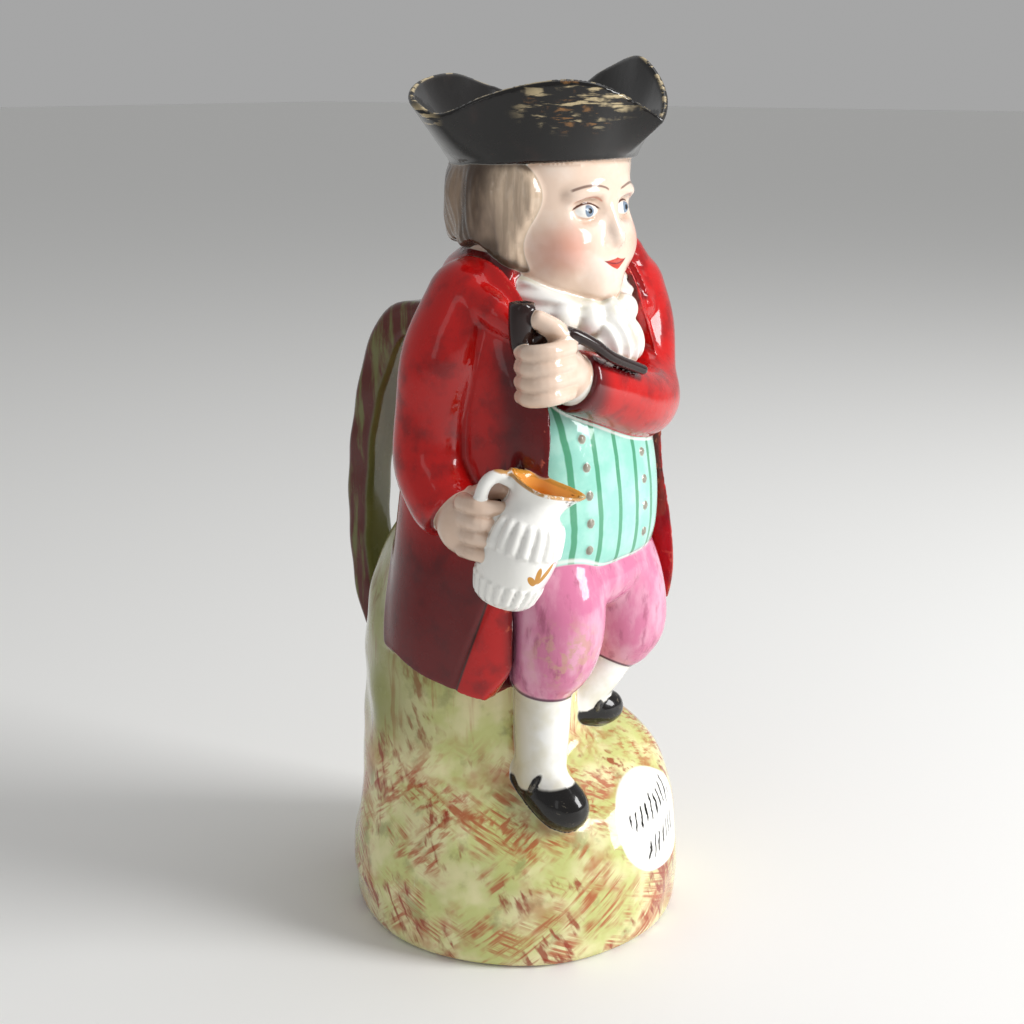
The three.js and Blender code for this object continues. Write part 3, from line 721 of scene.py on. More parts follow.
def hat():
    """The brim as a wall of even thickness that flares from the foot to the rim."""
    half = BRIM_THICKNESS / 2

    def distance(x, y, z):
        rim_radius, rim_z = brim_at(x, y)
        around = np.sqrt(x * x + (y - HEAD_Y) ** 2)
        foot_z = HAT_FOOT_Z + hat_lift(y)
        best = None
        shares = np.linspace(0, 1, 7)
        for low, high in zip(shares, shares[1:]):
            r1 = HAT_RADIUS - half + (rim_radius - HAT_RADIUS) * low**BRIM_FLARE
            r2 = HAT_RADIUS - half + (rim_radius - HAT_RADIUS) * high**BRIM_FLARE
            z1 = foot_z + (rim_z - half - foot_z) * low
            z2 = foot_z + (rim_z - half - foot_z) * high
            er, ez = r2 - r1, z2 - z1
            t = np.clip(((around - r1) * er + (z - z1) * ez) / (er * er + ez * ez), 0, 1)
            off = np.sqrt((around - r1 - t * er) ** 2 + (z - z1 - t * ez) ** 2)
            off = off - half * (1 - BRIM_TAPER * (low + t * (high - low)))
            best = off if best is None else np.minimum(best, off)
        return best

    return Form([-49, HEAD_Y - 49, HAT_FOOT_Z - 3], [49, HEAD_Y + 49, 290], distance)


def hat_foot():
    """The hat's floor ring, which the head runs into."""
    ring = trunk(
        [
            [HAT_FOOT_Z - 1.5, 0, HEAD_Y, HAT_RADIUS - 0.4, HAT_RADIUS - 0.4, 2],
            [HAT_FOOT_Z + 3, 0, HEAD_Y, HAT_RADIUS + 0.3, HAT_RADIUS + 0.3, 2],
            [HAT_FOOT_Z + 9, 0, HEAD_Y, HAT_RADIUS - 1, HAT_RADIUS - 1, 2],
        ],
        rounding=1.2,
    )
    return Form(ring.low, ring.high + [0, 0, 4], lambda x, y, z: ring(x, y, z - hat_lift(y)))


# The handle: a squarish branch. Rows are x, y, z and half its depth.
HANDLE_BREADTH = 15.0
HANDLE_CORNER = 3.2
HANDLE = [
    [0, 22, 201, 6], [0, 38, 201, 6], [0, 49.5, 197.3, 6.5], [0, 58.5, 181, 6.5], [0, 65, 157, 6],
    [0, 68, 130, 5.5], [0, 67, 108, 5.5], [0, 61.5, 90, 5.5], [0, 49, 75, 6],
]


def handle():
    path = spline(HANDLE, 6)

    def distance(x, y, z):
        best, depth = None, None
        for a, b in zip(path, path[1:]):
            ey, ez = b[1] - a[1], b[2] - a[2]
            t = np.clip(((y - a[1]) * ey + (z - a[2]) * ez) / (ey * ey + ez * ez), 0, 1)
            square = (y - a[1] - t * ey) ** 2 + (z - a[2] - t * ez) ** 2
            thick = a[3] + t * (b[3] - a[3])
            nearer = square < best if best is not None else None
            depth = thick if best is None else np.where(nearer, thick, depth)
            best = square if best is None else np.minimum(best, square)
        across = np.abs(x) - HANDLE_BREADTH / 2 - 0.5 * np.sin(z * 0.13 + 0.8) * np.sin(z * 0.21)
        out = np.sqrt(best) - depth + 0.3 - 0.3 * np.sin(z * 0.11 + 0.2 * x)
        u, v = across + HANDLE_CORNER, out + HANDLE_CORNER
        outside = np.sqrt(np.maximum(u, 0) ** 2 + np.maximum(v, 0) ** 2)
        return np.minimum(np.maximum(u, v), 0) + outside - HANDLE_CORNER

    return Form([-10, 14, 66], [10, 76, 214], distance)


# The hollow, from the floor to the bottom of the hat
HOLLOW = [
    [FLOOR, 0, 0, 51, 51, 2], [24, 0, 0, 52, 52, 2], [36, 0, 1, 49, 49, 2],
    [50, 0, 6.5, 43.5, 39.5, 2.2], [62, 0, 13.5, 42.5, 33, 2.3], [90, 0, 13, 40, 31.5, 2.4],
    [115, 0, 9, 35, 29.5, 2.3], [135, 0, 0, 33, 29, 2.3], [165, 0, -7, 33, 29, 2.4],
    [190, 0, -9, 31, 25, 2.3], [205, 0, -11, 24, 19, 2], [214, 0, -12, 19.5, 17.5, 2],
    [226, 0, HEAD_Y, 20.5, 20.5, 2], [244, 0, HEAD_Y, 23.5, 23.5, 2], [263, 0, HEAD_Y, 25, 25, 2],
]


MOUTH = [
    [250, 0, HEAD_Y, 24.2, 24.2, 2], [270, 0, HEAD_Y, 25.5, 25.5, 2], [300, 0, HEAD_Y, 26, 26, 2],
]


def hollow():
    return united([trunk(HOLLOW, rounding=3), trunk(MOUTH)], 1)


# The collar
COLLAR = [
    [-33.5, -26, 207, 3.5], [-35, -18, 212.5, 5.5], [-32.5, -5, 217, 6.5], [-18, 8, 220.5, 6],
    [0, 13, 222, 6], [18, 8, 222, 6], [33, -2, 224, 8], [37, -13, 220.5, 10], [32, -26, 207, 5],
]
RIGHT_FLAP = [
    [-30.5, 233], [-37, 225], [-40.5, 216], [-39, 210.5], [-36.5, 208.5], [-33, 209.3],
    [-30.5, 211.5],
]
FLAP_THICKNESS = 2.2
FLAP_BACK_Y = -4


def collar():
    roll = limb(COLLAR)
    raised = trunk(COAT, COAT_SWELLINGS, grow=FLAP_THICKNESS, rounding=3)
    left_flap = [[-x, z] for x, z in RIGHT_FLAP]

    def distance(x, y, z):
        d = roll(x, y, z)
        over = raised(x, y, z)
        for flap in (RIGHT_FLAP, left_flap):
            inside = np.maximum(outline_distance(flap, x, z), y - FLAP_BACK_Y)
            d = smooth_min(d, smooth_max(over, inside, 0.8), 1.2)
        return d

    return Form(raised.low, raised.high, distance)


# Buttons on the waistcoat
BUTTON_ROWS = (-17.5, 10.5)


def waistcoat_buttons():
    front = trunk(WAISTCOAT, rounding=2)
    made = []
    for x in BUTTON_ROWS:
        for i in range(5):
            z = 137.5 + 8.7 * i
            y = -60.0
            for _ in range(30):
                y += float(front(np.array([x]), np.array([y]), np.array([z]))[0]) * 0.9
            made.append(blob([x, y + 0.1, z], [1.45, 0.9, 1.45]))
    return united(made, 0.4)


# Where the painted details sit
SPRIG_TURN = -64.0
SPRIG_Z = 10.5
SPRIG_LEAVES = ((-48, 2.2), (-8, 3.0), (26, 4.0))
STRIPE_X = -23.3
STRIPE_GAP = 9.7
PLAQUE_TURN = -79.5
PLAQUE_Z = 38.0


# Each form with the painted region that it belongs to and how softly it joins the rest
STACK = [
    ("ground", mound(), 1.0),
    ("handle", handle(), 5.0),
    ("coat", coat(), 2.0),
    ("coat", collar(), 1.5),
    ("waistcoat", trunk(WAISTCOAT, rounding=2), 1.0),
    ("breeches", breeches(), 1.2),
    ("linen", limb(RIGHT_SHIN), 1.2),
    ("linen", limb(LEFT_SHIN), 1.2),
    ("linen", foot(*RIGHT_SHOE), 2.5),
    ("linen", foot(*LEFT_SHOE), 2.5),
    ("shoes", shoe(*RIGHT_SHOE), 0.8),
    ("shoes", shoe(*LEFT_SHOE), 0.8),
    ("shoes", strap(*RIGHT_SHOE), 0.4),
    ("shoes", strap(*LEFT_SHOE), 0.4),
    ("coat", sleeve(RIGHT_SLEEVE), 1.4),
    ("coat", sleeve(LEFT_SLEEVE), 1.4),
    ("linen", trunk(SHIRT, rounding=3), 1.0),
    ("linen", neckcloth(), 0.8),
    ("skin", head(), 1.0),
    ("hair", hair(), 1.2),
    ("hat", hat_foot(), 0.6),
    ("hat", hat(), 0.6),
    ("linen", shirt_cuff(RIGHT_SLEEVE), 0.6),
    ("linen", shirt_cuff(LEFT_SLEEVE), 0.6),
    ("skin", right_hand(), 0.8),
    ("skin", left_hand(), 0.8),
    ("pipe", pipe(), 0.5),
    ("jug", small_jug(), 0.5),
    ("buttons", waistcoat_buttons(), 0.3),
]
HOLLOW_FORM = hollow()
REGIONS = sorted({region for region, _, _ in STACK})
HOLLOW_BLEND = 1.2
SPARE = 2.5


def within(form, points, spare):
    return np.all((points > form.low - spare) & (points < form.high + spare), axis=1)


def distances(points):
    """The field at points: the skin, the unhollowed outside and each region's own distance."""
    outer = np.full(len(points), FAR)
    own = {region: np.full(len(points), FAR) for region in REGIONS}
    for region, form, blend in STACK:
        near = within(form, points, blend + SPARE)
        d = form(*points[near].T)
        outer[near] = smooth_min(outer[near], d, blend)
        own[region][near] = np.minimum(own[region][near], d)
    skin = outer.copy()
    near = within(HOLLOW_FORM, points, HOLLOW_BLEND + SPARE)
    skin[near] = smooth_max(skin[near], -HOLLOW_FORM(*points[near].T), HOLLOW_BLEND)
    return skin, outer, own


def grid_field():
    """The field on a grid, worked out form by form in the box that each one fills."""
    low = np.array([-62.0, -64.0, -3.0])
    high = np.array([62.0, 79.0, 292.0])
    axes = [np.arange(a, b, CELL) for a, b in zip(low, high)]
    field = np.full([len(a) for a in axes], FAR, np.float32)

    def join(form, blend, combine):
        spare = blend + 2 * CELL
        ends = zip(axes, form.low - spare, form.high + spare)
        spans = [slice(*np.searchsorted(a, (first, last))) for a, first, last in ends]
        x, y, z = np.ix_(*(a[span] for a, span in zip(axes, spans)))
        field[tuple(spans)] = combine(field[tuple(spans)], form(x, y, z), blend)

    for _, form, blend in STACK:
        join(form, blend, smooth_min)
    join(HOLLOW_FORM, HOLLOW_BLEND, lambda a, b, k: smooth_max(a, -b, k))
    return field, low


# Meshing
CORNERS = np.array([[i, j, k] for i in (0, 1) for j in (0, 1) for k in (0, 1)])


def surface_net(field, low):
    """One point in each cell that the surface crosses, and one quad around each crossed grid edge."""
    inside = field < 0
    cells = [n - 1 for n in field.shape]
    corner = lambda grid, c: grid[c[0] : c[0] + cells[0], c[1] : c[1] + cells[1], c[2] : c[2] + cells[2]]
    count = sum(corner(inside, c).astype(np.int8) for c in CORNERS)
    crossed = (count > 0) & (count < 8)
    number = np.full(cells, -1, np.int64)
    number[crossed] = np.arange(crossed.sum())
    places = np.argwhere(crossed)
    values = np.stack([corner(field, c)[crossed] for c in CORNERS], axis=1)
    total, hits = np.zeros((len(places), 3)), np.zeros(len(places))
    for a in range(8):
        for b in range(a + 1, 8):
            if np.abs(CORNERS[a] - CORNERS[b]).sum() != 1:
                continue
            cuts = (values[:, a] < 0) != (values[:, b] < 0)
            t = values[cuts, a] / (values[cuts, a] - values[cuts, b])
            total[cuts] += CORNERS[a] + t[:, None] * (CORNERS[b] - CORNERS[a])
            hits[cuts] += 1
    points = low + CELL * (places + total / hits[:, None])
    quads = []
    for axis in range(3):
        first = [slice(None)] * 3
        second = [slice(None)] * 3
        first[axis], second[axis] = slice(None, -1), slice(1, None)
        edges = inside[tuple(first)] != inside[tuple(second)]
        at = np.argwhere(edges)
        one, two = (axis + 1) % 3, (axis + 2) % 3
        at = at[(at[:, one] > 0) & (at[:, two] > 0)]
        starts_inside = inside[tuple(at.T)]
        ring = []
        for step_one, step_two in ((-1, -1), (0, -1), (0, 0), (-1, 0)):
            cell = at.copy()
            cell[:, one] += step_one
            cell[:, two] += step_two
            ring.append(number[tuple(cell.T)])
        ring = np.stack(ring, axis=1)
        quads.append(np.where(starts_inside[:, None], ring, ring[:, ::-1]))
    return points, np.concatenate(quads)


def largest_body(points, faces):
    """The faces joined to the largest body, with shut pockets inside the wall left out."""
    ends = np.concatenate([faces, np.roll(faces, -1, axis=1)], axis=1).reshape(len(faces), 2, -1)
    a, b = ends[:, 0].ravel(), ends[:, 1].ravel()
    label = np.arange(len(points))
    while True:
        lower = label.copy()
        np.minimum.at(lower, a, label[b])
        np.minimum.at(lower, b, label[a])
        lower = lower[lower]
        if np.array_equal(lower, label):
            break
        label = lower
    kept_label = np.bincount(label).argmax()
    faces = faces[label[faces[:, 0]] == kept_label]
    used = np.unique(faces)
    renumber = np.full(len(points), -1)
    renumber[used] = np.arange(len(used))
    return points[used], renumber[faces]


def mesh_from(name, points, faces):
    mesh = bpy.data.meshes.new(name)
    mesh.from_pydata(points.tolist(), [], faces.tolist())
    mesh.update()
    return mesh


def thinned(points, faces):
    """The mesh brought under its triangle limit, with flat places thinned most."""
    mesh = mesh_from("fine_skin", points, faces)
    fine = bpy.data.objects.new("fine_skin", mesh)
    bpy.context.scene.collection.objects.link(fine)
    change = fine.modifiers.new("fewer", "DECIMATE")
    change.ratio = min(1.0, MOST_TRIANGLES / (2 * len(faces)))
    change.use_collapse_triangulate = True
    made = fine.evaluated_get(bpy.context.evaluated_depsgraph_get()).to_mesh()
    thin = np.zeros(len(made.vertices) * 3)
    made.vertices.foreach_get("co", thin)
    made.calc_loop_triangles()
    corners = np.zeros(len(made.loop_triangles) * 3, np.int64)
    made.loop_triangles.foreach_get("vertices", corners)
    bpy.data.objects.remove(fine)
    bpy.data.meshes.remove(mesh)
    return thin.reshape(-1, 3), corners.reshape(-1, 3)


TETRAHEDRON = np.array([[1, -1, -1], [-1, -1, 1], [-1, 1, -1], [1, 1, 1]], float)


def slope(points, reach=0.35):
    """The field's gradient, from four points around each one."""
    return sum(c * distances(points + c * reach)[0][:, None] for c in TETRAHEDRON) / (4 * reach)


def settled(points, rounds=2):
    """Points moved onto the field's own surface, which thinning left them beside."""
    for _ in range(rounds):
        gradient = slope(points)
        level = distances(points)[0]
        step = level / np.maximum((gradient**2).sum(1), 0.25)
        points = points - np.clip(step, -0.7, 0.7)[:, None] * gradient
    return points


def add_attribute(mesh, name, values):
    attribute = mesh.attributes.new(name, "FLOAT", "POINT")
    attribute.data.foreach_set("value", np.asarray(values, np.float32))


def make_skin():
    points, faces = surface_net(*grid_field())
    points, faces = largest_body(points, faces)
    points, faces = thinned(points, faces)
    points = settled(points)
    normals = slope(points, 0.5)
    normals /= np.linalg.norm(normals, axis=1)[:, None]
    box_low, box_high = (np.array(corner) * 1000 for corner in cad_box)
    points = np.clip(points, box_low + [BOX_MARGIN, BOX_MARGIN, 0], box_high - BOX_MARGIN)
    mesh = mesh_from("toby_jug_glazed", points / 1000, faces)
    mesh.normals_split_custom_set_from_vertices(normals.tolist())
    level, outer, own = distances(points)
    for region in REGIONS:
        others = np.min([own[other] for other in REGIONS if other != region], axis=0)
        add_attribute(mesh, region, np.clip(others - own[region], -6, 6))
    add_attribute(mesh, "inner", np.clip(-outer - 0.8, -6, 6))
    # Hollowness: paint darkens in recesses and between parts, partly glaze pooling and partly painted
    # shade
    add_attribute(mesh, "pooling_and_shade", np.clip(1 - distances(points + 2.5 * normals)[0] / 2.5, -1, 1))
    add_attribute(mesh, "worn", np.clip(1 + distances(points - 1.6 * normals)[0] / 1.6, -1, 1))
    add_attribute(mesh, "hat_rim", np.clip(brim_at(points[:, 0], points[:, 1])[1] - points[:, 2], -6, 30))
    x, y, z = to_jug(*points.T)
    turn = np.arctan2(y, x)
    radius = np.interp(z, *np.array(JUG, float).T)
    add_attribute(mesh, "jug_lining", np.clip(radius + spout(turn, z) - 0.9 - np.hypot(x, y), -6, 6))
    add_attribute(mesh, "jug_rim", np.clip(jug_rim(turn) - z, -6, 60))
    add_attribute(mesh, "sprig_s", np.clip((turn - radians(SPRIG_TURN)) * 11.5, -20, 20))
    add_attribute(mesh, "sprig_t", np.clip(z - SPRIG_Z, -20, 20))
    turn = np.arctan2(points[:, 1], points[:, 0])
    add_attribute(mesh, "skirt_turn", np.degrees(turn) % 360)
    add_attribute(mesh, "plaque_s", np.clip((turn - radians(PLAQUE_TURN)) * FOOT_RADIUS, -40, 40))
    return mesh


# Paint
def tint(red, green, blue):
    """A colour mixed on a 0 to 255 scale, as the shader wants it."""
    def straight(level):
        level = level / 255
        return level / 12.92 if level <= 0.04045 else ((level + 0.055) / 1.055) ** 2.4

    return (straight(red), straight(green), straight(blue), 1.0)


# The material and its nodes' shorthands, most of which give back an output. Places are in millimetres.
material = bpy.data.materials.new("glazed_earthenware")
material.use_nodes = True
tree = material.node_tree
known = {}


def node(kind, **settings):
    made = tree.nodes.new(kind)
    for name, value in settings.items():
        setattr(made, name, value)
    return made


def feed(socket, value):
    if isinstance(value, bpy.types.NodeSocket):
        tree.links.new(value, socket)
    else:
        socket.default_value = value


scaled = node("ShaderNodeVectorMath", operation="SCALE")
feed(scaled.inputs[0], node("ShaderNodeTexCoord").outputs["Object"])
scaled.inputs["Scale"].default_value = 1000.0
PLACE = scaled.outputs[0]
apart = node("ShaderNodeSeparateXYZ")
feed(apart.inputs[0], PLACE)
PX, PY, PZ = apart.outputs


def read(name):
    if name not in known:
        known[name] = node("ShaderNodeAttribute", attribute_name=name).outputs["Fac"]
    return known[name]


def calc(operation, *values):
    made = node("ShaderNodeMath", operation=operation)
    for socket, value in zip(made.inputs, values):
        feed(socket, value)
    return made.outputs[0]


def add(*values):
    total = values[0]
    for value in values[1:]:
        total = calc("ADD", total, value)
    return total


def both(*masks):
    total = masks[0]
    for mask in masks[1:]:
        total = calc("MULTIPLY", total, mask)
    return total


def either(*masks):
    total = masks[0]
    for mask in masks[1:]:
        total = calc("MAXIMUM", total, mask)
    return total


def unless(mask):
    return calc("SUBTRACT", 1.0, mask)


def rise(value, low, high):
    """0 up to low, 1 from high on, or the other way round where high is the lower."""
    made = node("ShaderNodeMapRange", interpolation_type="SMOOTHSTEP")
    feed(made.inputs["Value"], value)
    first, last = min(low, high), max(low, high)
    feed(made.inputs["From Min"], first)
    feed(made.inputs["From Max"], last)
    feed(made.inputs["To Min"], 0.0 if low < high else 1.0)
    feed(made.inputs["To Max"], 1.0 if low < high else 0.0)
    return made.outputs[0]


def line(value, middle, half, soft=0.3):
    """1 where the value is within half of the middle."""
    off = calc("ABSOLUTE", calc("SUBTRACT", value, middle))
    return rise(off, half + soft, half - soft)


def noise(size, stretch=(1, 1, 1), detail=3.0, turn=(0, 0, 0), roughness=0.55):
    """Noise from about 0.2 to 0.8 with spots about size millimetres across, longer by stretch."""
    key = ("noise", size, stretch, detail, turn, roughness)
    if key not in known:
        mapping = node("ShaderNodeMapping")
        feed(mapping.inputs["Vector"], PLACE)
        mapping.inputs["Rotation"].default_value = [radians(t) for t in turn]
        mapping.inputs["Scale"].default_value = [1 / s for s in stretch]
        texture = node("ShaderNodeTexNoise")
        feed(texture.inputs["Vector"], mapping.outputs[0])
        texture.inputs["Scale"].default_value = 1 / size
        texture.inputs["Detail"].default_value = detail
        texture.inputs["Roughness"].default_value = roughness
        known[key] = texture.outputs["Fac"]
    return known[key]


def over(below, above, *masks):
    """One colour painted over another where all the masks meet."""
    made = node("ShaderNodeMix", data_type="RGBA")
    feed(made.inputs["Factor"], both(*masks))
    feed(made.inputs[6], below)
    feed(made.inputs[7], above)
    return made.outputs[2]


def spot(middle, radii, soft=0.5):
    """1 inside an ellipsoid, fading over soft of its radii."""
    total = None
    for socket, at, radius in zip((PX, PY, PZ), middle, radii):
        part = calc("POWER", calc("DIVIDE", calc("SUBTRACT", socket, at), radius), 2.0)
        total = part if total is None else calc("ADD", total, part)
    return rise(calc("SQRT", total), 1 + soft / 2, 1 - soft / 2)


def of_region(name, soft=0.25):
    return rise(read(name), -soft, soft)


RED = tint(192, 15, 13)
DEEP_RED = tint(122, 8, 12)
MAROON = tint(62, 10, 15)
TURQUOISE = tint(150, 214, 198)
TURQUOISE_PALE = tint(178, 228, 214)
STRIPE_GREEN = tint(66, 148, 108)
PINK = tint(214, 124, 160)
PINK_SHADE = tint(172, 88, 120)
PINK_WASH = tint(228, 164, 188)
BISCUIT = tint(206, 160, 140)
BAND = tint(62, 28, 52)
LINEN = tint(244, 243, 238)
LINEN_SHADE = tint(196, 184, 142)
IVORY = tint(238, 212, 192)
IVORY_LIGHT = tint(244, 224, 208)
IVORY_SHADE = tint(200, 166, 140)
BLUSH = tint(228, 112, 82)
LIP_RED = tint(200, 48, 30)
IRIS = tint(120, 140, 162)
BROWN_LINE = tint(84, 46, 34)
LID_RED = tint(190, 96, 70)
HAIR_COLOUR = tint(150, 128, 108)
HAIR_LIGHT = tint(226, 202, 176)
HAIR_DARK = tint(78, 60, 46)
BLACK = tint(16, 13, 12)
BLACK_BROWN = tint(44, 30, 26)
SCUFFED = tint(112, 106, 92)
CREAM = tint(214, 194, 152)
TAN = tint(166, 118, 66)
GOLD = tint(196, 138, 52)
GOLD_LINING = tint(230, 156, 66)
GREEN = tint(206, 210, 134)
GREEN_PALE = tint(236, 230, 176)
GREEN_DARK = tint(132, 132, 76)
RUST = tint(180, 80, 42)
BRICK = tint(152, 40, 18)
OLIVE = tint(100, 102, 56)
BARK = tint(92, 32, 24)
MOSS = tint(112, 112, 64)
PIPE_BROWN = tint(36, 16, 14)
SILVER = tint(150, 146, 132)
WHITE_GLAZE = tint(232, 230, 220)
CLAY = tint(214, 204, 182)
JUG_SHADE = tint(196, 194, 184)


def brushed(slope, size, length):
    """Streaks that climb the mound at a slope: noise twisted about the upright axis."""
    twisted = node("ShaderNodeVectorRotate", rotation_type="Z_AXIS")
    feed(twisted.inputs["Vector"], PLACE)
    feed(twisted.inputs["Angle"], calc("MULTIPLY", PZ, slope / FOOT_RADIUS))
    mapping = node("ShaderNodeMapping")
    feed(mapping.inputs["Vector"], twisted.outputs[0])
    mapping.inputs["Scale"].default_value = [1, 1, 1 / length]
    texture = node("ShaderNodeTexNoise")
    feed(texture.inputs["Vector"], mapping.outputs[0])
    texture.inputs["Scale"].default_value = 1 / size
    texture.inputs["Detail"].default_value = 3.0
    return texture.outputs["Fac"]


def ground_colour():
    wash = over(GREEN, GREEN_PALE, rise(noise(16), 0.36, 0.6))
    mossy = rise(noise(10, detail=5), 0.54, 0.7)
    wash = over(wash, GREEN_DARK, 0.55, mossy)
    upright = rise(PZ, 56, 76)
    strokes = None
    for slope, patch_turn in ((2.4, 10), (-1.2, 75)):
        streaks = rise(brushed(slope, 2.4, 6), 0.42, 0.62)
        place = rise(noise(15, (1, 1, 1), 3, (patch_turn, 20, 0)), 0.46, 0.62)
        mask = both(streaks, place)
        strokes = mask if strokes is None else either(strokes, mask)
    tall_streaks = rise(brushed(0.06, 1.9, 12), 0.45, 0.64)
    tall = both(tall_streaks, rise(noise(14, (1, 1, 3)), 0.45, 0.6))
    strokes = add(both(unless(upright), strokes), both(upright, tall))
    colour = over(wash, RUST, 0.85, strokes)
    washed = both(rise(noise(19, (1, 1, 0.8), 4), 0.5, 0.66), unless(upright))
    colour = over(colour, RUST, 0.5, washed)
    patches = rise(noise(15, (1, 1, 1.3), 4), 0.5, 0.6)
    dabs = both(patches, rise(brushed(0.5, 2.8, 3), 0.48, 0.62))
    colour = over(colour, BRICK, 0.85, dabs)
    shade = both(upright, rise(PY, -20, 25))
    return over(colour, GREEN_DARK, 0.75, shade)


def handle_colour():
    streaks = noise(3.2, (1, 1, 7), 4)
    bark = over(BARK, MOSS, rise(streaks, 0.46, 0.68))
    inner = over(OLIVE, MOSS, rise(noise(6, (1, 1, 4)), 0.4, 0.66))
    facing = node("ShaderNodeSeparateXYZ")
    feed(facing.inputs[0], node("ShaderNodeNewGeometry").outputs["Normal"])
    inner_face = rise(facing.outputs[1], -0.45, -0.75)
    return over(bark, inner, inner_face)


def coat_colour():
    cloth = over(RED, DEEP_RED, 0.7, rise(noise(9, detail=4), 0.45, 0.7))
    front = both(rise(PY, -16, -24), rise(PX, -39.5, -36), rise(PX, -14, -22), rise(PZ, 206, 196))
    cloth = over(cloth, MAROON, 0.85, front)
    turn = calc("SUBTRACT", read("skirt_turn"), calc("MULTIPLY", PZ, CREASE_LEAN))
    crease = CREASE_TURN - CREASE_Z * CREASE_LEAN
    low_skirt = rise(PZ, 156, 126)
    skirt = both(low_skirt, rise(turn, crease + 1, crease - 1))
    cloth = over(cloth, MAROON, 0.8, skirt)
    cloth = over(cloth, BLACK_BROWN, 0.9, line(turn, crease, 0.5, 0.5), rise(PZ, 128, 124))
    # Maroon in the coat's hollows and folds: partly pooled pigment, partly painted shade
    cloth = over(cloth, MAROON, 0.8, rise(read("pooling_and_shade"), 0.15, 0.75))
    chipped = both(rise(read("worn"), 0.35, 0.8), rise(noise(3, detail=4), 0.58, 0.66))
    return over(cloth, BLUSH, 0.5, chipped)


def waistcoat_colour():
    wobble = calc("MULTIPLY", calc("SUBTRACT", noise(18), 0.5), 2.0)
    across = add(PX, wobble, -STRIPE_X + 10 * STRIPE_GAP)
    within_stripe = calc("PINGPONG", across, STRIPE_GAP / 2)
    stripes = both(0.9, rise(within_stripe, 1.15, 0.75), rise(noise(5, (1, 1, 4)), 0.2, 0.34))
    cloth = over(TURQUOISE, TURQUOISE_PALE, rise(noise(9, detail=4), 0.35, 0.7))
    cloth = over(cloth, STRIPE_GREEN, stripes)
    piping = either(
        line(read("coat"), -0.8, 0.5),
        line(read("breeches"), -0.7, 0.4),
    )
    return over(cloth, LINEN, 0.7, piping)


def breeches_colour():
    cloth = over(PINK, PINK_WASH, rise(noise(7, (1, 1, 2.4), 5), 0.4, 0.68))
    cloth = over(cloth, PINK_SHADE, 0.8, rise(noise(4, (1, 1, 3), 5, (0, 30, 0)), 0.52, 0.72))
    knee = spot([-28, -41, 106], [9, 12, 10], 1.2)
    worn = rise(noise(3.6, detail=5), 0.46, 0.6)
    cloth = over(cloth, BISCUIT, 0.75, knee, worn)
    band = both(line(read("linen"), -0.35, 0.45), rise(PZ, 104, 98))
    return over(cloth, BAND, 0.9, band)


def linen_colour():
    cloth = over(LINEN, tint(230, 226, 210), rise(noise(12), 0.45, 0.7))
    # Painted shade: the stockings below the knee turn darker on the side turned away from the key light
    towards_shaded_side = calc("MULTIPLY_ADD", PY, 0.788, calc("MULTIPLY", PX, -0.616))
    side = both(rise(towards_shaded_side, -8, 0), rise(PZ, 96, 90))
    cloth = over(cloth, LINEN_SHADE, 0.7, side)
    return over(cloth, LINEN_SHADE, 0.5, rise(read("pooling_and_shade"), 0.25, 0.8))


def shoes_colour():
    scuffed = both(rise(read("worn"), 0.2, 0.7), rise(noise(2.2, detail=4), 0.5, 0.62))
    scuffed = either(scuffed, rise(noise(1.8, (1, 3, 1), 4), 0.62, 0.7))
    return over(BLACK, SCUFFED, 0.6, scuffed)


def arched(side, middle_z, bend, half, reach):
    """A thin arched line over an eye."""
    across = calc("SUBTRACT", PX, side * EYE_X)
    crown = calc("MULTIPLY", calc("POWER", calc("ABSOLUTE", across), 2.0), bend)
    thin = line(calc("ADD", PZ, crown), middle_z, half, 0.2)
    return both(thin, rise(calc("ABSOLUTE", across), reach + 0.5, reach - 0.5))


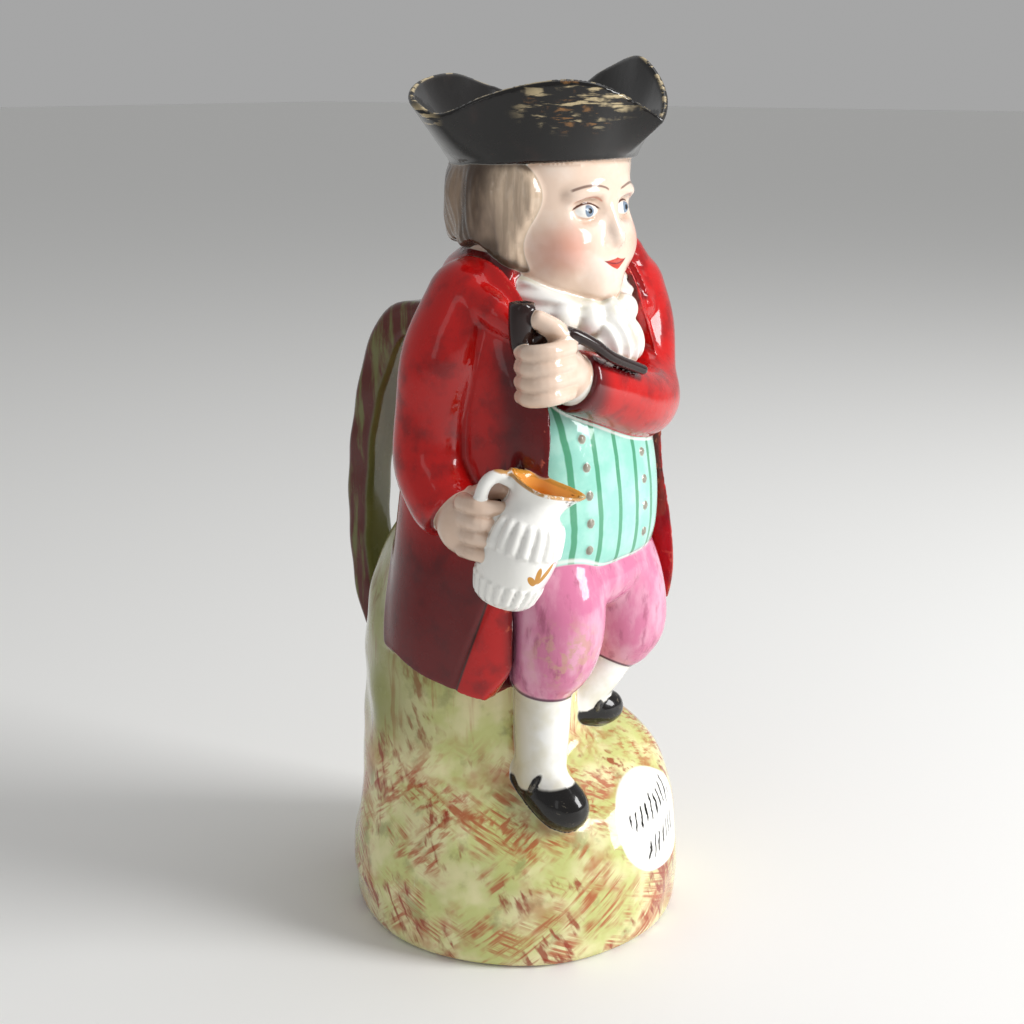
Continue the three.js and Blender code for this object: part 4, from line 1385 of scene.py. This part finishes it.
def skin_colour():
    colour = over(IVORY, IVORY_LIGHT, rise(noise(10), 0.4, 0.7))
    hands = rise(PZ, CHIN_Z - 2, CHIN_Z - 6)
    colour = over(colour, IVORY_SHADE, 0.35, hands)
    colour = over(colour, IVORY_SHADE, 0.7, rise(read("pooling_and_shade"), 0.1, 0.7))
    face = both(rise(PY, -26, -30), rise(PZ, CHIN_Z - 2, CHIN_Z + 2))
    for side in (-1, 1):
        cheek = spot([side * 15, FACE_Y + 8, CHIN_Z + 17], [7, 10, 6.2], 1.4)
        colour = over(colour, BLUSH, 0.55, cheek)
        white = both(face, spot([side * EYE_X, FACE_Y + 2, EYE_Z], [4.3, 9, 2.0], 0.2))
        colour = over(colour, LINEN, white)
        iris = both(white, spot([side * EYE_X, FACE_Y + 2, EYE_Z + 0.1], [1.8, 9, 1.8], 0.2))
        colour = over(colour, IRIS, iris)
        pupil = both(white, spot([side * EYE_X, FACE_Y + 2, EYE_Z + 0.1], [0.85, 9, 0.85], 0.3))
        colour = over(colour, BLACK, pupil)
        lid = both(face, arched(side, EYE_Z + 2.3, 0.075, 0.3, 4.8))
        colour = over(colour, BROWN_LINE, lid)
        fold = both(face, arched(side, EYE_Z + 4.2, 0.06, 0.25, 5.0))
        colour = over(colour, LID_RED, 0.6, fold)
        brow = both(face, arched(side, EYE_Z + 7.6, 0.035, 0.35, 6.4))
        colour = over(colour, BROWN_LINE, 0.75, brow)
    smile = calc("MULTIPLY", calc("POWER", calc("ABSOLUTE", PX), 2.0), 0.035)
    mouth_line = calc("SUBTRACT", calc("SUBTRACT", PZ, MOUTH_Z - 0.6), smile)
    aside = calc("ABSOLUTE", PX)
    full = calc("MULTIPLY_ADD", aside, -0.33, 1.75)
    lips = both(face, rise(calc("SUBTRACT", calc("ABSOLUTE", mouth_line), full), 0.25, -0.1))
    colour = over(colour, LIP_RED, 0.95, lips, rise(aside, 5.4, 5.0))
    parting = both(face, line(mouth_line, 0.0, 0.16, 0.2), rise(aside, 6, 5.2))
    return over(colour, BAND, 0.8, parting)


def hair_colour():
    strands = noise(2.4, (1, 1, 9), 4)
    locks = rise(noise(9, (1, 1, 3)), 0.36, 0.64)
    colour = over(HAIR_DARK, HAIR_COLOUR, locks)
    # Paler towards the face: partly the hair's own paler paint, partly painted light where the key light
    # falls, with the back left darker
    paler_and_lit_towards_face = rise(PY, HEAD_Y + 2, HEAD_Y - 9)
    colour = over(colour, HAIR_LIGHT, 0.9, paler_and_lit_towards_face)
    colour = over(colour, HAIR_DARK, 0.25, rise(strands, 0.45, 0.62))
    # Darker in the hair's grooves: partly pooled paint, partly painted shade
    return over(colour, HAIR_DARK, 0.85, rise(read("pooling_and_shade"), 0.0, 0.5))


def hat_colour():
    colour = over(BLACK, BLACK_BROWN, rise(noise(9, detail=5), 0.55, 0.8))
    panel = spot([-22, -40, 272], [19, 17, 7.5], 0.7)
    flowing = noise(1.9, (6, 6, 1), 4, (0, 10, 28), 0.55)
    smears = both(rise(flowing, 0.51, 0.6), rise(noise(9), 0.38, 0.5))
    colour = over(colour, CREAM, 0.85, panel, smears)
    tan = both(rise(flowing, 0.46, 0.4), rise(noise(8, detail=4), 0.48, 0.6))
    colour = over(colour, TAN, 0.7, panel, tan)
    corner = spot([-44, 6, 266], [7, 8, 6], 0.8)
    colour = over(colour, CREAM, 0.8, corner, rise(flowing, 0.52, 0.56))
    rim = both(rise(read("hat_rim"), 1.0, 0.5), rise(noise(4.5, detail=5), 0.47, 0.53))
    return over(colour, CREAM, 0.85, rim)


def jug_colour():
    colour = over(LINEN, JUG_SHADE, rise(read("pooling_and_shade"), 0.3, 0.9))
    lining = both(rise(read("jug_lining"), 0, 0.4), rise(read("jug_rim"), 12, 10))
    colour = over(colour, GOLD_LINING, lining)
    rim = both(rise(read("jug_rim"), 1.3, 0.8), rise(noise(3, detail=4), 0.36, 0.46))
    colour = over(colour, GOLD, 0.9, rim)
    for turn, length in SPRIG_LEAVES:
        c, s = math.cos(radians(turn)), math.sin(radians(turn))
        across = add(
            calc("MULTIPLY", read("sprig_s"), c),
            calc("MULTIPLY", read("sprig_t"), -s),
        )
        along = add(
            calc("MULTIPLY", read("sprig_s"), s),
            calc("MULTIPLY", read("sprig_t"), c),
            -1.25 * length,
        )
        leaf = calc(
            "ADD",
            calc("POWER", calc("DIVIDE", across, 1.0), 2.0),
            calc("POWER", calc("DIVIDE", along, length), 2.0),
        )
        colour = over(colour, GOLD, rise(leaf, 1.15, 0.8))
    return colour


def plaque():
    """The white label area on the mound, and the dark strokes painted on it."""
    s, t = read("plaque_s"), calc("SUBTRACT", PZ, PLAQUE_Z)
    shape = calc(
        "ADD",
        calc("POWER", calc("DIVIDE", s, 23.0), 2.0),
        calc("POWER", calc("DIVIDE", t, 15.5), 2.0),
    )
    panel = both(rise(shape, 1.06, 0.96), rise(PY, 0, -5))
    lean = calc("ADD", s, calc("MULTIPLY", t, -0.45))
    beat = calc("PINGPONG", add(lean, calc("MULTIPLY", noise(7), 5.0), 100.0), 1.7)
    strokes = rise(beat, 0.62, 0.36)
    ragged = calc("MULTIPLY", calc("SUBTRACT", noise(5, (1, 1, 5)), 0.5), 7.0)
    rows = None
    for middle, tall, wide in ((4.6, 3.0, 16.0), (-5.6, 2.7, 12.5)):
        slanted = add(t, calc("MULTIPLY", s, -0.12), ragged)
        row = both(
            line(slanted, middle, tall, 0.5),
            rise(calc("ABSOLUTE", s), wide + 0.3, wide - 0.3),
        )
        rows = row if rows is None else either(rows, row)
    return panel, both(panel, rows, strokes)


def glazed_earthenware():
    """Painted and clear-glazed earthenware: each region's own paint under one hard, glossy coat."""
    painted = {
        "ground": ground_colour,
        "handle": handle_colour,
        "coat": coat_colour,
        "waistcoat": waistcoat_colour,
        "breeches": breeches_colour,
        "linen": linen_colour,
        "shoes": shoes_colour,
        "skin": skin_colour,
        "hair": hair_colour,
        "hat": hat_colour,
        "jug": jug_colour,
    }
    colour = WHITE_GLAZE
    for region, paint_region in painted.items():
        colour = over(colour, paint_region(), of_region(region))
    colour = over(colour, PIPE_BROWN, of_region("pipe"))
    colour = over(colour, SILVER, of_region("buttons"))
    panel, strokes = plaque()
    ground = of_region("ground")
    colour = over(colour, LINEN, panel, ground)
    colour = over(colour, BLACK, strokes, ground)
    lining = both(rise(read("inner"), 0, 0.6), rise(PZ, HAT_FOOT_Z, HAT_FOOT_Z - 2))
    colour = over(colour, WHITE_GLAZE, lining)
    unglazed = rise(PZ, 0.5, 0.2)
    colour = over(colour, CLAY, unglazed)
    shader = tree.nodes["Principled BSDF"]
    feed(shader.inputs["Base Color"], colour)
    uneven = rise(noise(6, detail=4), 0.4, 0.75)
    rough = calc("MULTIPLY_ADD", uneven, 0.12, 0.2)
    feed(shader.inputs["Roughness"], either(rough, both(unglazed, 0.85)))
    shader.inputs["Specular IOR Level"].default_value = 0.15
    shader.inputs["Coat Weight"].default_value = 0.7
    shader.inputs["Coat Roughness"].default_value = 0.06
    shader.inputs["Coat IOR"].default_value = 1.5
    ripple = node("ShaderNodeBump")
    ripple.inputs["Strength"].default_value = 0.25
    ripple.inputs["Distance"].default_value = 0.0004
    feed(ripple.inputs["Height"], noise(7, detail=2))
    for name in ("Normal", "Coat Normal"):
        feed(shader.inputs[name], ripple.outputs[0])
    return material


# The piece
skin_mesh = make_skin()
skin_mesh.materials.append(glazed_earthenware())
jug_piece = bpy.data.objects.new("toby_jug_glazed", skin_mesh)
bpy.context.scene.collection.objects.link(jug_piece)
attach(jug_piece, "root")
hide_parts("toby_jug")

# The floor
FLOOR_HALF = 12.0
floor_mesh = bpy.data.meshes.new("studio_floor")
floor_corners = [(x * FLOOR_HALF, y * FLOOR_HALF, 0.0) for x, y in ((-1, -1), (1, -1), (1, 1), (-1, 1))]
floor_mesh.from_pydata(floor_corners, [], [(0, 1, 2, 3)])
floor_paint = bpy.data.materials.new("pale_floor")
floor_paint.use_nodes = True
floor_shader = floor_paint.node_tree.nodes["Principled BSDF"]
floor_shader.inputs["Base Color"].default_value = tint(244, 244, 242)
floor_shader.inputs["Roughness"].default_value = 0.6
floor_mesh.materials.append(floor_paint)
floor = bpy.data.objects.new("studio_floor", floor_mesh)
bpy.context.scene.collection.objects.link(floor)

# Camera
CAMERA_AT = Vector((-0.3940, -0.3078, 0.280))
CAMERA_AIM = Vector((0, 0, 0.140))
camera = bpy.data.cameras.new("camera")
camera.sensor_width = 36.0
camera.lens = 54.42
camera.shift_x = -0.005
camera.shift_y = -0.004
viewer = bpy.data.objects.new("camera", camera)
viewer.location = CAMERA_AT
viewer.rotation_euler = (CAMERA_AIM - CAMERA_AT).to_track_quat("-Z", "Y").to_euler()
bpy.context.scene.collection.objects.link(viewer)
bpy.context.scene.camera = viewer

# Lights. Each is its place, its width and height, and its power.
LIGHTS = {
    "key": ((0.5, -1.12, 0.7), 0.5, 0.8, 19.0),
    "left_fill": ((-1.2, -0.2, 0.5), 0.25, 0.7, 0.4),
    "top": ((0.4, -0.2, 1.4), 0.8, 0.8, 3.0),
}
for name, (place, width, height, power) in LIGHTS.items():
    lamp = bpy.data.lights.new(name, "AREA")
    lamp.shape = "RECTANGLE"
    lamp.size = width
    lamp.size_y = height
    lamp.energy = power
    holder = bpy.data.objects.new(name, lamp)
    holder.location = place
    holder.rotation_euler = (Vector((0, 0, 0.14)) - Vector(place)).to_track_quat("-Z", "Y").to_euler()
    bpy.context.scene.collection.objects.link(holder)

world = bpy.data.worlds.new("studio")
world.use_nodes = True
world.node_tree.nodes["Background"].inputs["Color"].default_value = (1, 1, 1, 1)
world.node_tree.nodes["Background"].inputs["Strength"].default_value = 0.38
bpy.context.scene.world = world

bpy.context.scene.view_settings.view_transform = "Standard"
